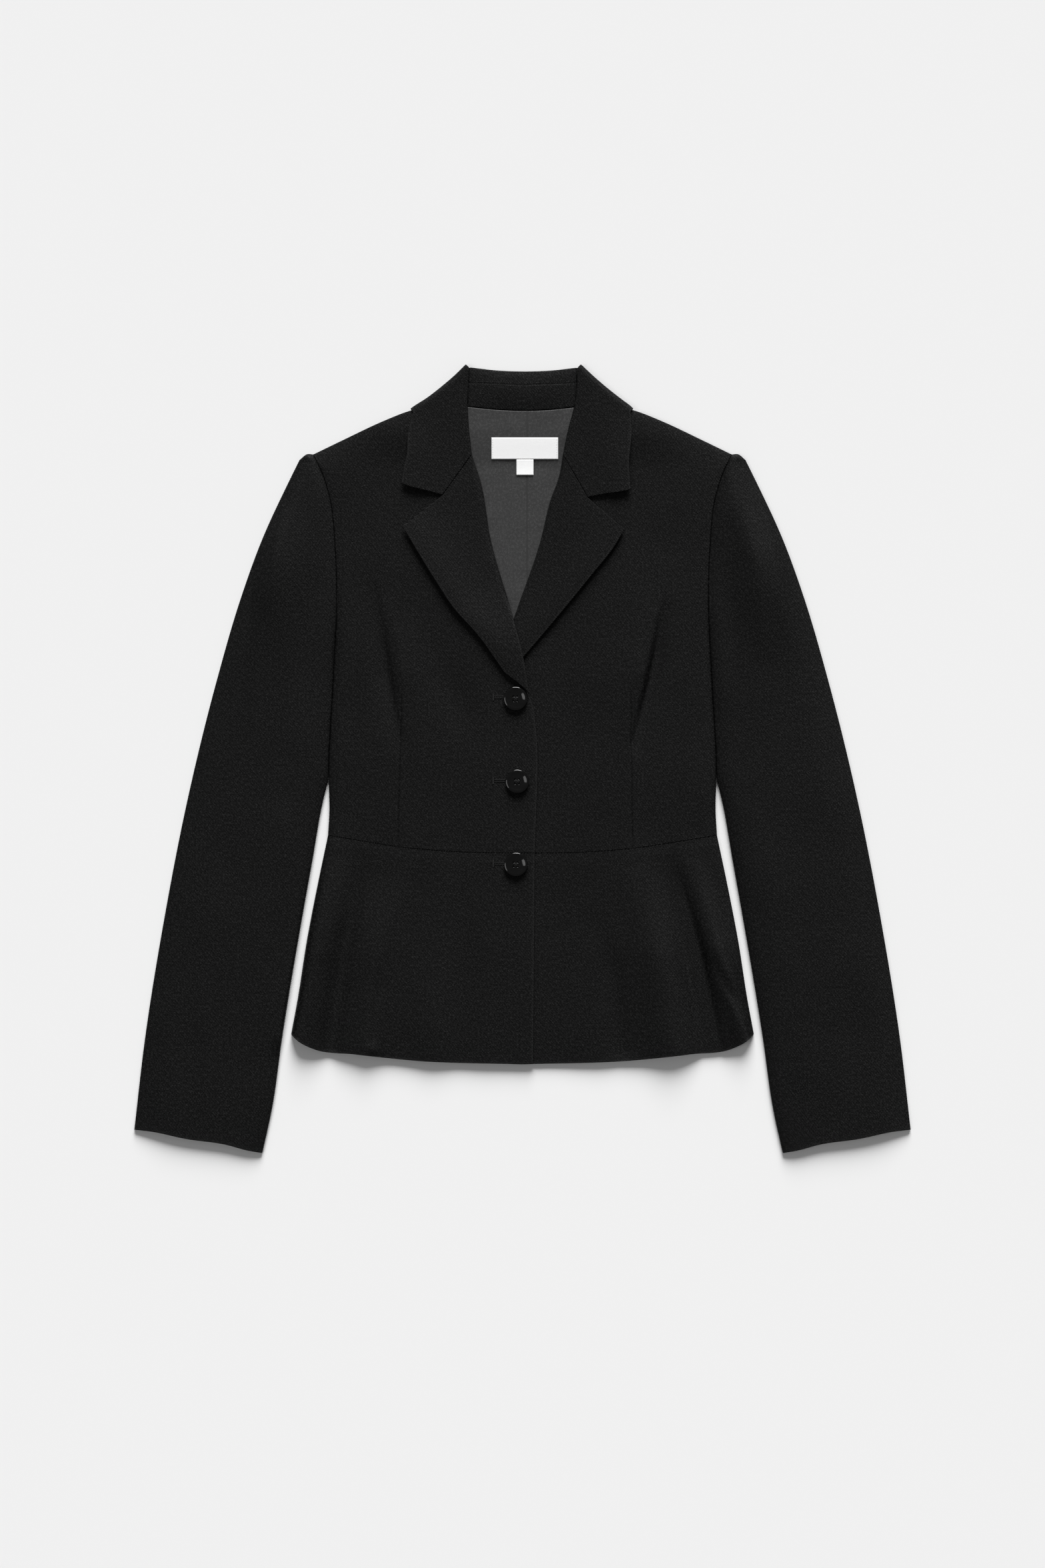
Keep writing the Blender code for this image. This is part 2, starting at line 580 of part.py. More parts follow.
def collar():
    """Make the collar as one wall: right leaf, the fall under the back neck, left leaf."""
    right, right_out = leaf(-1, RIGHT_COLLAR_ROLL, RIGHT_LEAF_EDGE, RIGHT_LEAF_NOTCH, RIGHT_CONTOUR)
    left, left_out = leaf(1, LEFT_COLLAR_ROLL, LEFT_LEAF_EDGE, LEFT_LEAF_NOTCH, LEFT_CONTOUR)
    start, end = right[-1, :, :2], left[-1, :, :2]
    shares = np.linspace(0.0, 1.0, FALL_ROWS)
    first = curve([tuple(start[0]), *FALL_FOLD, tuple(end[0])], shares)
    last = curve([tuple(start[-1]), *FALL_EDGE, tuple(end[-1])], shares)
    plan = matched(start, end, first, last)[1:-1]
    fall = np.dstack([plan, np.full(plan.shape[:2], LAPEL_WALL / 2)])
    down = np.zeros(fall.shape)
    down[..., 2] = -1.0
    middle = np.concatenate([right, fall, left[::-1]])
    out = np.concatenate([right_out, down, left_out[::-1]]) * LAPEL_WALL / 2
    skin("collar", middle + out, middle - out, CLOTH, CLOTH_ROUGHNESS)


STAND_SIDE_X = (-50.0, 47.6)
STAND_SIDE_Y = 325.0
STAND_CROWN = 1.2


def collar_stand():
    """Make the inside of the collar stand, between the neck seam and the fold."""
    shares = np.linspace(0.0, 1.0, SLEEVE_COLUMNS)
    bottom = curve(NECK_SEAM, shares) + (0.0, CLEAR)
    top = curve(BACK_FOLD, shares)
    rows = np.linspace(0.0, 1.0, 7)
    first = curve([tuple(top[0]), (STAND_SIDE_X[0], STAND_SIDE_Y), tuple(bottom[0])], rows)
    last = curve([tuple(top[-1]), (STAND_SIDE_X[1], STAND_SIDE_Y), tuple(bottom[-1])], rows)
    plan = matched(top, bottom, first, last)
    floor = np.full(plan.shape[:2], LAPEL_WALL + CLEAR)
    crown = STAND_CROWN * np.outer(np.sin(math.pi * rows), 1.0 - (2.0 * shares - 1.0) ** 2)
    panel("collar_stand", plan, floor, floor + LAPEL_WALL + crown, LAPEL_WALL, [(top, 6.0, 1.0)],
          CLOTH, CLOTH_ROUGHNESS)


LINING_RIGHT_EDGE = [
    (-51.0, 305.6), (-48.0, 264.5), (-40.0, 239.5), (-32.0, 191.4), (-12.1, 122.7), (-11.0, 116.0),
]
LINING_LEFT_EDGE = [
    (48.0, 305.0), (39.2, 264.4), (28.5, 225.3), (19.7, 189.8), (-3.4, 122.4), (-5.0, 116.0),
]
LINING_ROWS, LINING_COLUMNS = 15, 8


def lining_back():
    shares = np.linspace(0.0, 1.0, LINING_COLUMNS)
    rows = np.linspace(0.0, 1.0, LINING_ROWS) ** 1.2
    top = curve(NECK_SEAM, shares) - (0.0, SEAM_SHIFT)
    first, last = curve(LINING_RIGHT_EDGE, rows), curve(LINING_LEFT_EDGE, rows)
    plan = matched(top, straight(first[-1], last[-1], LINING_COLUMNS - 1), first, last)
    floor = lining_floor(plan[..., 0], plan[..., 1])
    panel("lining_back", plan, floor, floor + LINING_WALL, LINING_WALL, [], LINING, LINING_ROUGHNESS)


LABEL_WIDTH, LABEL_HEIGHT, LABEL_LEFT, LABEL_TOP = 58.0, 18.7, -27.0, 279.1
TAB_WIDTH, TAB_HEIGHT, TAB_LEFT = 14.9, 13.5, -5.3
LABEL_WALL = 1.0


def label(name, left, top, width, height):
    """Make a bare woven label that lies on the lining and follows its slope."""
    x, y = np.meshgrid(np.linspace(left, left + width, 3), np.linspace(top, top - height, 5))
    floor = over_lining(x, y)
    panel(name, np.dstack([x, y]), floor, floor + LABEL_WALL, LABEL_WALL, [], WOVEN_LABEL, LINING_ROUGHNESS)


# Buttons: x, y of the three, then the turned profile as radius, height
BUTTONS = [("button_top", -6.1, 52.2), ("button_middle", -4.6, -19.7), ("button_bottom", -5.8, -91.9)]
BUTTON_RADIUS = 10.3
BUTTON_PROFILE = [(8.6, 0.0), (10.0, 0.9), (10.3, 2.2), (9.7, 3.5), (8.6, 4.0), (7.4, 3.6), (5.6, 2.7)]
BUTTON_DISH = 2.4
HOLE_RADIUS, HOLE_OFFSET, HOLE_SIDES = 0.95, 1.75, 10
BUTTON_SIDES = 36


def ring(radius, height, sides):
    turns = np.linspace(0.0, 2.0 * math.pi, sides, endpoint=False)
    return np.column_stack([radius * np.cos(turns), radius * np.sin(turns), np.full(sides, height)])


def lathe(name, profile, middle_height, sides, place):
    """Turn a profile into a closed body: a flat underside, a rim and a dished middle."""
    rings = [ring(radius, height, sides) for radius, height in profile]
    points = np.concatenate([*rings, [(0.0, 0.0, middle_height)]]) + place
    faces = [list(range(sides))[::-1]]
    for low in range(0, (len(profile) - 1) * sides, sides):
        for k in range(sides):
            after = (k + 1) % sides
            faces.append([low + k, low + after, low + after + sides, low + k + sides])
    rim = (len(profile) - 1) * sides
    faces += [[rim + k, rim + (k + 1) % sides, len(points) - 1] for k in range(sides)]
    return solid(name, points * MM, faces, BUTTON, BUTTON_ROUGHNESS)


def button(name, x, y):
    """Make a four-hole button that lies on the right front, just above its buttonhole."""
    disc = ring(BUTTON_RADIUS, 0.0, BUTTON_SIDES) + (x, y, 0.0)
    seat = float(np.max(right_top(disc[:, 0], disc[:, 1]))) + CLEAR
    body = lathe(name, BUTTON_PROFILE, BUTTON_DISH, BUTTON_SIDES, (x, y, seat))
    for across in (-HOLE_OFFSET, HOLE_OFFSET):
        for along in (-HOLE_OFFSET, HOLE_OFFSET):
            cut = ring(HOLE_RADIUS, 0.0, HOLE_SIDES) + (x + across, y + along, seat - 2.0)
            outline = np.concatenate([cut, cut + (0.0, 0.0, 8.0)]) * MM
            faces = [list(range(HOLE_SIDES))[::-1], list(range(HOLE_SIDES, 2 * HOLE_SIDES))]
            faces += [[k, (k + 1) % HOLE_SIDES, (k + 1) % HOLE_SIDES + HOLE_SIDES, k + HOLE_SIDES]
                      for k in range(HOLE_SIDES)]
            cutter = solid(name + "_hole", outline, faces, BUTTON, BUTTON_ROUGHNESS)
            cutter.hide_render = True
            cutter.display_type = "WIRE"
            hole = body.modifiers.new("hole", "BOOLEAN")
            hole.operation = "DIFFERENCE"
            hole.object = cutter


def no_step(x, y):
    return np.zeros(x.shape)


def all_the_way(y):
    return np.ones(y.shape)


for old in list(bpy.data.objects):
    bpy.data.objects.remove(old)

back()
peplum_back()
sleeve_under("sleeve_under_right", -1)
sleeve_under("sleeve_under_left", 1)
front_bodice("front_left", 1, LEFT_FRONT_INNER, left_top, no_step)
front_bodice("front_right", -1, RIGHT_FRONT_INNER, right_top, right_step)
front_peplum("peplum_front_left", 1, UNDERLAP_EDGE, UNDERLAP_EDGE, left_top, no_step)
front_peplum("peplum_front_right", -1, FRONT_EDGE, FRONT_EDGE_AT_HEM, right_top, right_step)
sleeve_top("sleeve_top_right", -1, RIGHT_FOLDS)
sleeve_top("sleeve_top_left", 1, LEFT_FOLDS)
lapel("lapel_left", LEFT_ROLL, LEFT_LAPEL_EDGE, LEFT_LAPEL_NOTCH, LEFT_LAPEL_TIP,
      left_top, LEFT_LAPEL_LIFT, all_the_way)
lapel("lapel_right", RIGHT_ROLL, RIGHT_LAPEL_EDGE, RIGHT_LAPEL_NOTCH, RIGHT_LAPEL_TIP,
      right_lapel_seat, RIGHT_LAPEL_LIFT, right_roll_down)
collar()
collar_stand()
lining_back()
label("neck_label", LABEL_LEFT, LABEL_TOP, LABEL_WIDTH, LABEL_HEIGHT)
label("size_tab", TAB_LEFT, LABEL_TOP - LABEL_HEIGHT - CLEAR, TAB_WIDTH, TAB_HEIGHT)
for button_name, button_x, button_y in BUTTONS:
    button(button_name, button_x, button_y)
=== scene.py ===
"""A black single-breasted peplum jacket, buttoned and laid on its back on a pale table.

The wearer's right is at -X and the neck at +Y. Shapes are worked out in millimetres and
turned into metres when a mesh is made.
"""
import math

import bpy
import numpy as np
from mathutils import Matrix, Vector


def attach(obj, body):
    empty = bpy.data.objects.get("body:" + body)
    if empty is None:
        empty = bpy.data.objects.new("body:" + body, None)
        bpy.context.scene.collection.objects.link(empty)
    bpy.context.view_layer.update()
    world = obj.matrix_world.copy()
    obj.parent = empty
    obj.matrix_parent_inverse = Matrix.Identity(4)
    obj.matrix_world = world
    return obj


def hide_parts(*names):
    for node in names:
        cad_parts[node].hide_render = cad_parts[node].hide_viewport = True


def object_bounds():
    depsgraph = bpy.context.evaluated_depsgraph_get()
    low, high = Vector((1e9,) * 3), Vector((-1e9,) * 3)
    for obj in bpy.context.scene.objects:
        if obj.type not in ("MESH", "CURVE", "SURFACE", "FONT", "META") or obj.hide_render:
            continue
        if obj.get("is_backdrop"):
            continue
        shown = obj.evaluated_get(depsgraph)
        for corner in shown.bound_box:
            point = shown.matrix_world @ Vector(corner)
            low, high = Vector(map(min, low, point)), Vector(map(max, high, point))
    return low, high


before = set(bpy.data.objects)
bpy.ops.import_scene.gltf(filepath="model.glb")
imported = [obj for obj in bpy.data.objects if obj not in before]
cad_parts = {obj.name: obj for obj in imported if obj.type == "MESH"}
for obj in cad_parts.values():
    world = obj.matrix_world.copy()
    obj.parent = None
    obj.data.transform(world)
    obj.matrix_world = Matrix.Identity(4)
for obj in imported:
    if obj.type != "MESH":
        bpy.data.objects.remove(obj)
cad_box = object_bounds()

# Camera and light. The camera looks straight down from far above, so the jacket is seen
# almost without perspective. Soft suns light the whole table evenly, and the strongest
# one comes low from beyond the neck, so soft shadows fall below the hem and the cuffs.
MM = 0.001
PHOTO_ROWS, MM_PER_PIXEL = 2352, 0.58
VIEW_HEIGHT = PHOTO_ROWS * MM_PER_PIXEL * MM
VIEW_CENTRE_Y = -22 * MM
LENS, SENSOR = 150, 36

camera_data = bpy.data.cameras.new("camera")
camera_data.lens = LENS
camera_data.sensor_width = SENSOR
camera_data.clip_end = 100
camera = bpy.data.objects.new("camera", camera_data)
camera.location = (0, VIEW_CENTRE_Y, VIEW_HEIGHT * LENS / SENSOR)
bpy.context.collection.objects.link(camera)
bpy.context.scene.camera = camera
bpy.context.scene.view_settings.view_transform = "Standard"


def soft_sun(name, toward, elevation, spread, share):
    """Light the table from one side: share is its part of the table's whole brightness.

    A sun that stands low lights the table less: energy = share pi / sin(elevation).
    """
    data = bpy.data.lights.new(name, "SUN")
    data.angle = math.radians(spread)
    data.energy = share * math.pi / math.sin(math.radians(elevation))
    lamp = bpy.data.objects.new(name, data)
    lamp.rotation_euler = (math.radians(90 - elevation), 0, math.radians(180 - toward))
    bpy.context.collection.objects.link(lamp)


KEY_SHARE, FILL_SHARE, WORLD_SHARE = 0.76, 0.09, 0.15
soft_sun("key_light", 4, 26, 34, KEY_SHARE)
soft_sun("left_fill", -105, 57, 24, FILL_SHARE)
world = bpy.data.worlds.new("room")
world.use_nodes = True
world.node_tree.nodes["Background"].inputs["Color"].default_value = (1, 1, 1, 1)
world.node_tree.nodes["Background"].inputs["Strength"].default_value = WORLD_SHARE
bpy.context.scene.world = world


def connect(tree, node, links):
    """Link each input of a node to a socket or a node's first output, or set its value."""
    for name, source in links:
        if isinstance(source, bpy.types.Node):
            source = source.outputs[0]
        if isinstance(source, bpy.types.NodeSocket):
            tree.links.new(source, node.inputs[name])
        else:
            node.inputs[name].default_value = source


def plain_finish(name, grey, roughness, specular):
    """Return a material of one even grey, ready for more nodes."""
    finish = bpy.data.materials.new(name)
    finish.use_nodes = True
    connect(finish.node_tree, finish.node_tree.nodes["Principled BSDF"], [
        ("Base Color", (grey, grey, grey, 1)), ("Roughness", roughness),
        ("Specular IOR Level", specular)])
    return finish


# The table. A plain pale board that the jacket lies on, just under the floor of the frame.
TABLE_HALF, TABLE_DROP = 3, 0.0002
TABLE_CORNERS = [(-1, -1), (1, -1), (1, 1), (-1, 1)]
table_mesh = bpy.data.meshes.new("table_board")
table_mesh.from_pydata([(x * TABLE_HALF, y * TABLE_HALF, -TABLE_DROP) for x, y in TABLE_CORNERS],
                       [], [(0, 1, 2, 3)])
table_mesh.materials.append(plain_finish("pale_board", 0.875, 1, 0))
table_board = bpy.data.objects.new("table_board", table_mesh)
bpy.context.collection.objects.link(table_board)
table_board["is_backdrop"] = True


# Back bodice. One panel of black wool-blend suiting under everything else, cut up to the
# neck seam. It lies flat on the table, and stands up only where the collar's fall is under
# it. All the outer cloth is the same: a nearly black twill with paler flecks of yarn.
UNDER_WALL, FRONT_WALL, LAPEL_WALL, LINING_WALL = 1.5, 1.6, 1.8, 1
CLEAR, FACING_GAP, SEAM_SHIFT = 0.3, 0.6, 0.02
UNDER_SHIFT, SHIFT_REACH = 2, 40
SHOULDER_Y, SLEEVE_FREE_Y, CUFF_INNER_Y = 264.6, -17, -343
BODY_SIDE = [
    (182, 264.6), (174.5, 249), (168.3, 230), (162.8, 182), (161.5, 147), (164.5, 71), (168.6, -17),
    (168, -45), (169.2, -66.7),
]
WAIST_SEAM = [(0, -82.2), (63, -80.6), (100, -77.4), (135, -72.2), (169.2, -66.7)]
SHOULDER = [(182, 264.6), (156, 277.2), (119.5, 294.2), (99.5, 302), (84, 306.2), (58, 315)]
NECK_SEAM = [(-52, 306.2), (-25, 303.4), (2.3, 302.2), (23, 303), (48, 305.6)]
RISE_START_Y, RISE_END_Y = 250, 288
RISE_FULL_X, RISE_END_X = 103, 165
# How far from an edge its close points are, and where the even ones start
EDGE_STEPS, EVEN_FROM = np.array([0, 0.12, 0.32, 0.6, 1, 1.7, 2.8]), 4.2
LINE_STEPS = 600
# Side -1 is the wearer's right, and 1 is the left
HANDS = {-1: "right", 1: "left"}


def ease(value, start, end):
    """Return 0 before start and 1 after end, with a smooth rise: 3 s^2 - 2 s^3."""
    share = np.clip((value - start) / (end - start), 0, 1)
    return share * share * (3 - 2 * share)


def lengths_along(points):
    """Return the length run up to each point of a line."""
    steps = np.linalg.norm(np.diff(points, axis=0), axis=1)
    return np.concatenate([[0], np.cumsum(steps)])


def row_shares(points):
    """Return each point's share of the length of its line, from 0 to 1."""
    run = lengths_along(points)
    return run / run[-1]


def curve(points, shares):
    """Return places at shares of the length of a Hermite curve through the points."""
    knots = np.array(points, dtype=float)
    run = lengths_along(knots)
    slopes = np.gradient(knots, run, axis=0)
    dense = np.linspace(0, run[-1], 900)
    span = np.clip(np.searchsorted(run, dense, side="right") - 1, 0, len(run) - 2)
    width = (run[span + 1] - run[span])[:, None]
    t = (dense - run[span])[:, None] / width
    line = ((2 * t**3 - 3 * t**2 + 1) * knots[span] + (t**3 - 2 * t**2 + t) * width * slopes[span]
            + (3 * t**2 - 2 * t**3) * knots[span + 1] + (t**3 - t**2) * width * slopes[span + 1])
    true_run = lengths_along(line)
    wanted = np.asarray(shares) * true_run[-1]
    return np.column_stack([np.interp(wanted, true_run, line[:, axis]) for axis in (0, 1)])


def half_width(points, heights):
    """Return how far out a side line is at each height."""
    line = curve(points, np.linspace(0, 1, LINE_STEPS))[::-1]
    return np.interp(heights, line[:, 1], line[:, 0])


def level(points, across):
    """Return the height of an even-sided seam at each place across."""
    line = curve(points, np.linspace(0, 1, LINE_STEPS))
    return np.interp(np.abs(across), line[:, 0], line[:, 1])


def mirrored(line, side):
    """Return a half outline on the wanted side."""
    return np.array(line, dtype=float) * (side, 1)


def across_waist(start, end, shares, shift):
    """Return places along the waist seam from start to end, moved up by the shift."""
    across = start + (end - start) * np.asarray(shares)
    return np.column_stack([across, level(WAIST_SEAM, across) + shift])


def crowded(length, spacing):
    """Return shares of a length, close together at both ends to round the edges."""
    near = EDGE_STEPS / length
    count = max(int(round((length - 2 * EVEN_FROM) / spacing)), 2)
    middle = np.linspace(EVEN_FROM, length - EVEN_FROM, count + 1) / length
    return np.concatenate([near, middle, 1 - near[::-1]])


def fill(top, bottom, first, last):
    """Fill four edges with a Coons patch: the blend of both pairs of edges, less the corners."""
    top, bottom = top.copy(), bottom.copy()
    top[0], top[-1], bottom[0], bottom[-1] = first[0], last[0], first[-1], last[-1]
    u = 0.5 * (row_shares(top) + row_shares(bottom))[None, :, None]
    v = 0.5 * (row_shares(first) + row_shares(last))[:, None, None]
    between = (1 - v) * top[None] + v * bottom[None]
    beside = (1 - u) * first[:, None] + u * last[:, None]
    corners = ((1 - u) * (1 - v) * top[0] + u * (1 - v) * top[-1]
               + (1 - u) * v * bottom[0] + u * v * bottom[-1])
    return between + beside - corners


def to_edges(grid):
    """Return how far each point lies from the top, bottom, first and last edge."""
    down = np.linalg.norm(np.diff(grid, axis=0), axis=-1)
    across = np.linalg.norm(np.diff(grid, axis=1), axis=-1)
    down = np.concatenate([np.zeros((1, grid.shape[1])), np.cumsum(down, axis=0)])
    across = np.concatenate([np.zeros((grid.shape[0], 1)), np.cumsum(across, axis=1)], axis=1)
    return np.stack([down, down[-1] - down, across, across[:, -1:] - across])


def paint_light_and_wear(piece, amount):
    """Keep how much lighter each point of the outer face is painted, for the finish to read."""
    # Above zero it stands for wear and a painted sheen along edges, below zero for painted shade.
    values = np.zeros(len(piece.data.vertices))
    values[:amount.size] = amount.reshape(-1)
    piece.data.attributes.new("wear_and_painted_light", "FLOAT", "POINT").data.foreach_set("value", values)


def placed(name, points, faces, finish, node=None):
    """Make a smooth piece from points in millimetres, and hide the part it stands for, if given."""
    mesh = bpy.data.meshes.new(name)
    mesh.from_pydata((np.array(points) * MM).tolist(), [], faces)
    mesh.shade_smooth()
    mesh.materials.append(finish)
    piece = bpy.data.objects.new(name, mesh)
    bpy.context.collection.objects.link(piece)
    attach(piece, "root")
    if node:
        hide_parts(node)
    return piece


def cloth(name, node, outer, inner, finish, brim, sheen_and_wear):
    """Make a closed wall of cloth from the grids of its two faces, in millimetres.

    Within half a wall of an edge both faces draw together as a half circle: the half
    thickness is scaled by the root of 1 - (1 - d / half)^2, where d is the way to the edge.
    A brim below 1 makes that half circle narrower, for an edge that is pressed flat. The
    listed edges are painted lighter, as wear and as a painted sheen: the amount is e to the
    minus half the squared millimetres from them, numbered in the order of to_edges. The UV
    map is the plan in metres, so the weave keeps its size.
    """
    middle, half = 0.5 * (outer + inner), 0.5 * (outer - inner)
    reach = np.linalg.norm(half, axis=-1)
    away = to_edges(middle)
    edge = 1 - np.clip(np.min(away, axis=0) / np.maximum(reach * brim, 0.25), 0, 1)
    half = half * np.sqrt(1 - edge**2)[..., None]
    outer, inner = middle + half, middle - half
    rows, columns = outer.shape[:2]
    index = np.arange(rows * columns).reshape(rows, columns)
    below = index.copy()
    below[1:-1, 1:-1] = rows * columns + np.arange((rows - 2) * (columns - 2)).reshape(rows - 2, -1)
    upper = np.stack([index[:-1, :-1], index[1:, :-1], index[1:, 1:], index[:-1, 1:]], axis=-1)
    lower = np.stack([below[:-1, 1:], below[1:, 1:], below[1:, :-1], below[:-1, :-1]], axis=-1)
    quads = np.concatenate([upper.reshape(-1, 4), lower.reshape(-1, 4)])
    points = np.concatenate([outer.reshape(-1, 3), inner[1:-1, 1:-1].reshape(-1, 3)])
    a, b, c, d = (points[quads[:, k]] for k in range(4))
    volume = np.sum(a * np.cross(b, c)) + np.sum(a * np.cross(c, d))
    if volume < 0:
        quads = quads[:, ::-1]
    piece = placed(name, points, quads.tolist(), finish, node)
    weave = piece.data.uv_layers.new(name="weave")
    weave.data.foreach_set("uv", points[quads.reshape(-1), :2].reshape(-1) * MM)
    # Paint the listed edges lighter: wear and a painted sheen.
    if sheen_and_wear:
        paint_light_and_wear(piece, np.exp(-np.min(away[list(sheen_and_wear)], axis=0) ** 2 / 2))
    return piece


def add_node(tree, kind, links=(), **settings):
    """Add a shader node, set its properties, and then connect its inputs."""
    node = tree.nodes.new("ShaderNode" + kind)
    for name, value in settings.items():
        setattr(node, name, value)
    connect(tree, node, links)
    return node


def calculate(tree, operation, *values, clamp=False):
    """Add a maths node that works on the values."""
    return add_node(tree, "Math", enumerate(values), operation=operation, use_clamp=clamp)


def make_twill():
    """Build the weave: fine slanted ribs with slubs along the yarn, and a soft cloudy shade."""
    group = bpy.data.node_groups.new("twill_weave", "ShaderNodeTree")
    for way, kind, names in [
            ("INPUT", "Vector", ["Vector"]), ("INPUT", "Color", ["Dark", "Light"]),
            ("INPUT", "Float", ["Ribs", "Wear_and_painted_light"]), ("OUTPUT", "Color", ["Color"]),
            ("OUTPUT", "Float", ["Height", "Shine"])]:
        for name in names:
            group.interface.new_socket(name=name, socket_type="NodeSocket" + kind, in_out=way)
    start, end = group.nodes.new("NodeGroupInput"), group.nodes.new("NodeGroupOutput")
    given = start.outputs
    yarn = add_node(group, "Mapping", [("Vector", given["Vector"]), ("Scale", (1, 0.75, 1))])
    slub = add_node(group, "TexNoise", [
        ("Vector", yarn), ("Scale", 560), ("Detail", 3), ("Roughness", 0.9)])
    cloud = add_node(group, "TexNoise", [
        ("Vector", given["Vector"]), ("Scale", 55), ("Detail", 3), ("Roughness", 0.6)])
    slant = add_node(group, "Mapping", [
        ("Vector", given["Vector"]), ("Rotation", (0, 0, math.radians(63)))])
    parts = add_node(group, "SeparateXYZ", [("Vector", slant)])
    phase = calculate(group, "MULTIPLY", parts, given["Ribs"])
    bent = calculate(group, "MULTIPLY_ADD", slub, 0.8, phase)
    rib = calculate(group, "SINE", calculate(group, "MULTIPLY", bent, math.tau))
    speck = add_node(group, "MapRange", [("Value", slub), ("From Min", 0.47), ("From Max", 0.64)])
    shade = calculate(group, "MULTIPLY_ADD", cloud, 0.3, -0.15)
    # Wear input: wear with painted sheen on edges, and painted shade in the lining seam.
    sheen_and_wear = calculate(group, "MULTIPLY_ADD", given["Wear_and_painted_light"], 0.7, shade)
    amount = calculate(group, "ADD", speck, sheen_and_wear, clamp=True)
    colour = add_node(group, "Mix", [(0, amount), (6, given["Dark"]), (7, given["Light"])],
                      data_type="RGBA")
    height = calculate(group, "MULTIPLY_ADD", rib, 0.3, slub)
    connect(group, end, [("Color", colour.outputs[2]), ("Shine", amount), ("Height", height)])
    return group


TWILL = make_twill()


def woven_finish(name, dark, light, ribs, roughness, specular, strength):
    """Return a woven cloth finish that follows the piece's own UV map.

    Dark and light are the greys of the yarn, and ribs is their number in each metre. Lighter
    yarn is also smoother: its roughness is 0.9 of the middle one, and dark yarn's is 1.1.
    """
    finish = plain_finish(name, light, roughness, specular)
    tree = finish.node_tree
    place = add_node(tree, "UVMap", uv_map="weave")
    # This attribute holds wear with painted sheen on edges, and painted shade in the lining seam.
    wear_and_painted_light = add_node(tree, "Attribute", attribute_name="wear_and_painted_light")
    weave = add_node(tree, "Group", [
        ("Vector", place), ("Wear_and_painted_light", wear_and_painted_light.outputs["Fac"]), ("Ribs", ribs),
        ("Dark", (dark, dark, dark, 1)), ("Light", (light, light, light, 1))],
        node_tree=TWILL)
    bump = add_node(tree, "Bump", [
        ("Strength", strength), ("Distance", 0.0003), ("Height", weave.outputs["Height"])])
    shine = add_node(tree, "MapRange", [
        ("Value", weave.outputs["Shine"]), ("To Min", roughness * 1.1),
        ("To Max", roughness * 0.9)])
    connect(tree, tree.nodes["Principled BSDF"], [
        ("Base Color", weave.outputs["Color"]), ("Roughness", shine), ("Normal", bump)])
    return finish


SUITING = woven_finish("black_suiting", 0.0001, 0.0110, 900, 0.50, 0.12, 0.8)


def laid(name, node, plan, top, floor, finish=SUITING, brim=1, sheen_and_wear=()):
    """Make a piece of cloth over its plan, between two heights, with the plan's flat size.
    """
    level_plan = np.zeros(plan.shape[:2])
    piece = cloth(name, node, np.dstack([plan, level_plan + top]),
                  np.dstack([plan, level_plan + floor]), finish, brim, sheen_and_wear)
    return piece


def rise(x, y):
    """Return how far the back stands up over the fall: both eased steps multiplied."""
    fade = 1 - ease(np.abs(x), RISE_FULL_X, RISE_END_X)
    return (LAPEL_WALL + CLEAR) * ease(y, RISE_START_Y, RISE_END_Y) * fade


def back_top(x, y):
    """Return the upper face of the under layer."""
    return UNDER_WALL + rise(x, y)


def under_shift(levels):
    """Return how far a seam of the under layer lies beside that of the upper one."""
    return UNDER_SHIFT * ease(levels, SLEEVE_FREE_Y, SLEEVE_FREE_Y + SHIFT_REACH)


def side_line(points, side, levels, shift=0):
    """Return a side seam at each level, moved out by the shift."""
    return mirrored(np.column_stack([half_width(points, levels) + shift, levels]), side)


BODY_HEIGHT = SHOULDER_Y - BODY_SIDE[-1][1]
SHOULDER_SHARE, TOP_EDGE_LENGTH = 0.34, 410
back_rows = SHOULDER_Y - BODY_HEIGHT * crowded(BODY_HEIGHT, 5)
neck_shares = crowded(TOP_EDGE_LENGTH, 5)
right_count = np.sum(neck_shares < SHOULDER_SHARE)
left_count = np.sum(neck_shares > 1 - SHOULDER_SHARE)
shoulder_top = np.concatenate([
    curve(mirrored(SHOULDER, -1), neck_shares[:right_count] / SHOULDER_SHARE),
    curve(NECK_SEAM, np.linspace(0, 1, len(neck_shares) - right_count - left_count)),
    curve(mirrored(SHOULDER, 1), (1 - neck_shares[-left_count:]) / SHOULDER_SHARE),
])
back_shift = under_shift(back_rows) - SEAM_SHIFT
back_first, back_last = (side_line(BODY_SIDE, side, back_rows, back_shift) for side in HANDS)
back_waist = across_waist(back_first[-1, 0], back_last[-1, 0], row_shares(shoulder_top),
                          SEAM_SHIFT - UNDER_SHIFT)
back_first[-1], back_last[-1] = back_waist[0], back_waist[-1]
back_plan = fill(shoulder_top, back_waist, back_first, back_last)
back_x, back_y = back_plan[..., 0], back_plan[..., 1]
back_piece = laid("back_bodice", "back", back_plan, back_top(back_x, back_y),
                  rise(back_x, back_y))


# Back peplum. A flared panel sewn to the back bodice at the waist seam, with its hem turned
# up inside. It lies flat on the table, and its hem has the same line as the front one.
PEPLUM_SIDE = [(169.2, -66.7), (177.5, -106), (187.6, -158), (195.8, -210), (201.3, -239.5)]
HEM = [(0, -265.8), (94.6, -262.5), (146, -257), (180, -253), (195.6, -245), (201.3, -239.5)]
WAIST_END, HEM_END, PEPLUM_SIDE_HEIGHT = 169.2, 201.3, 172.8


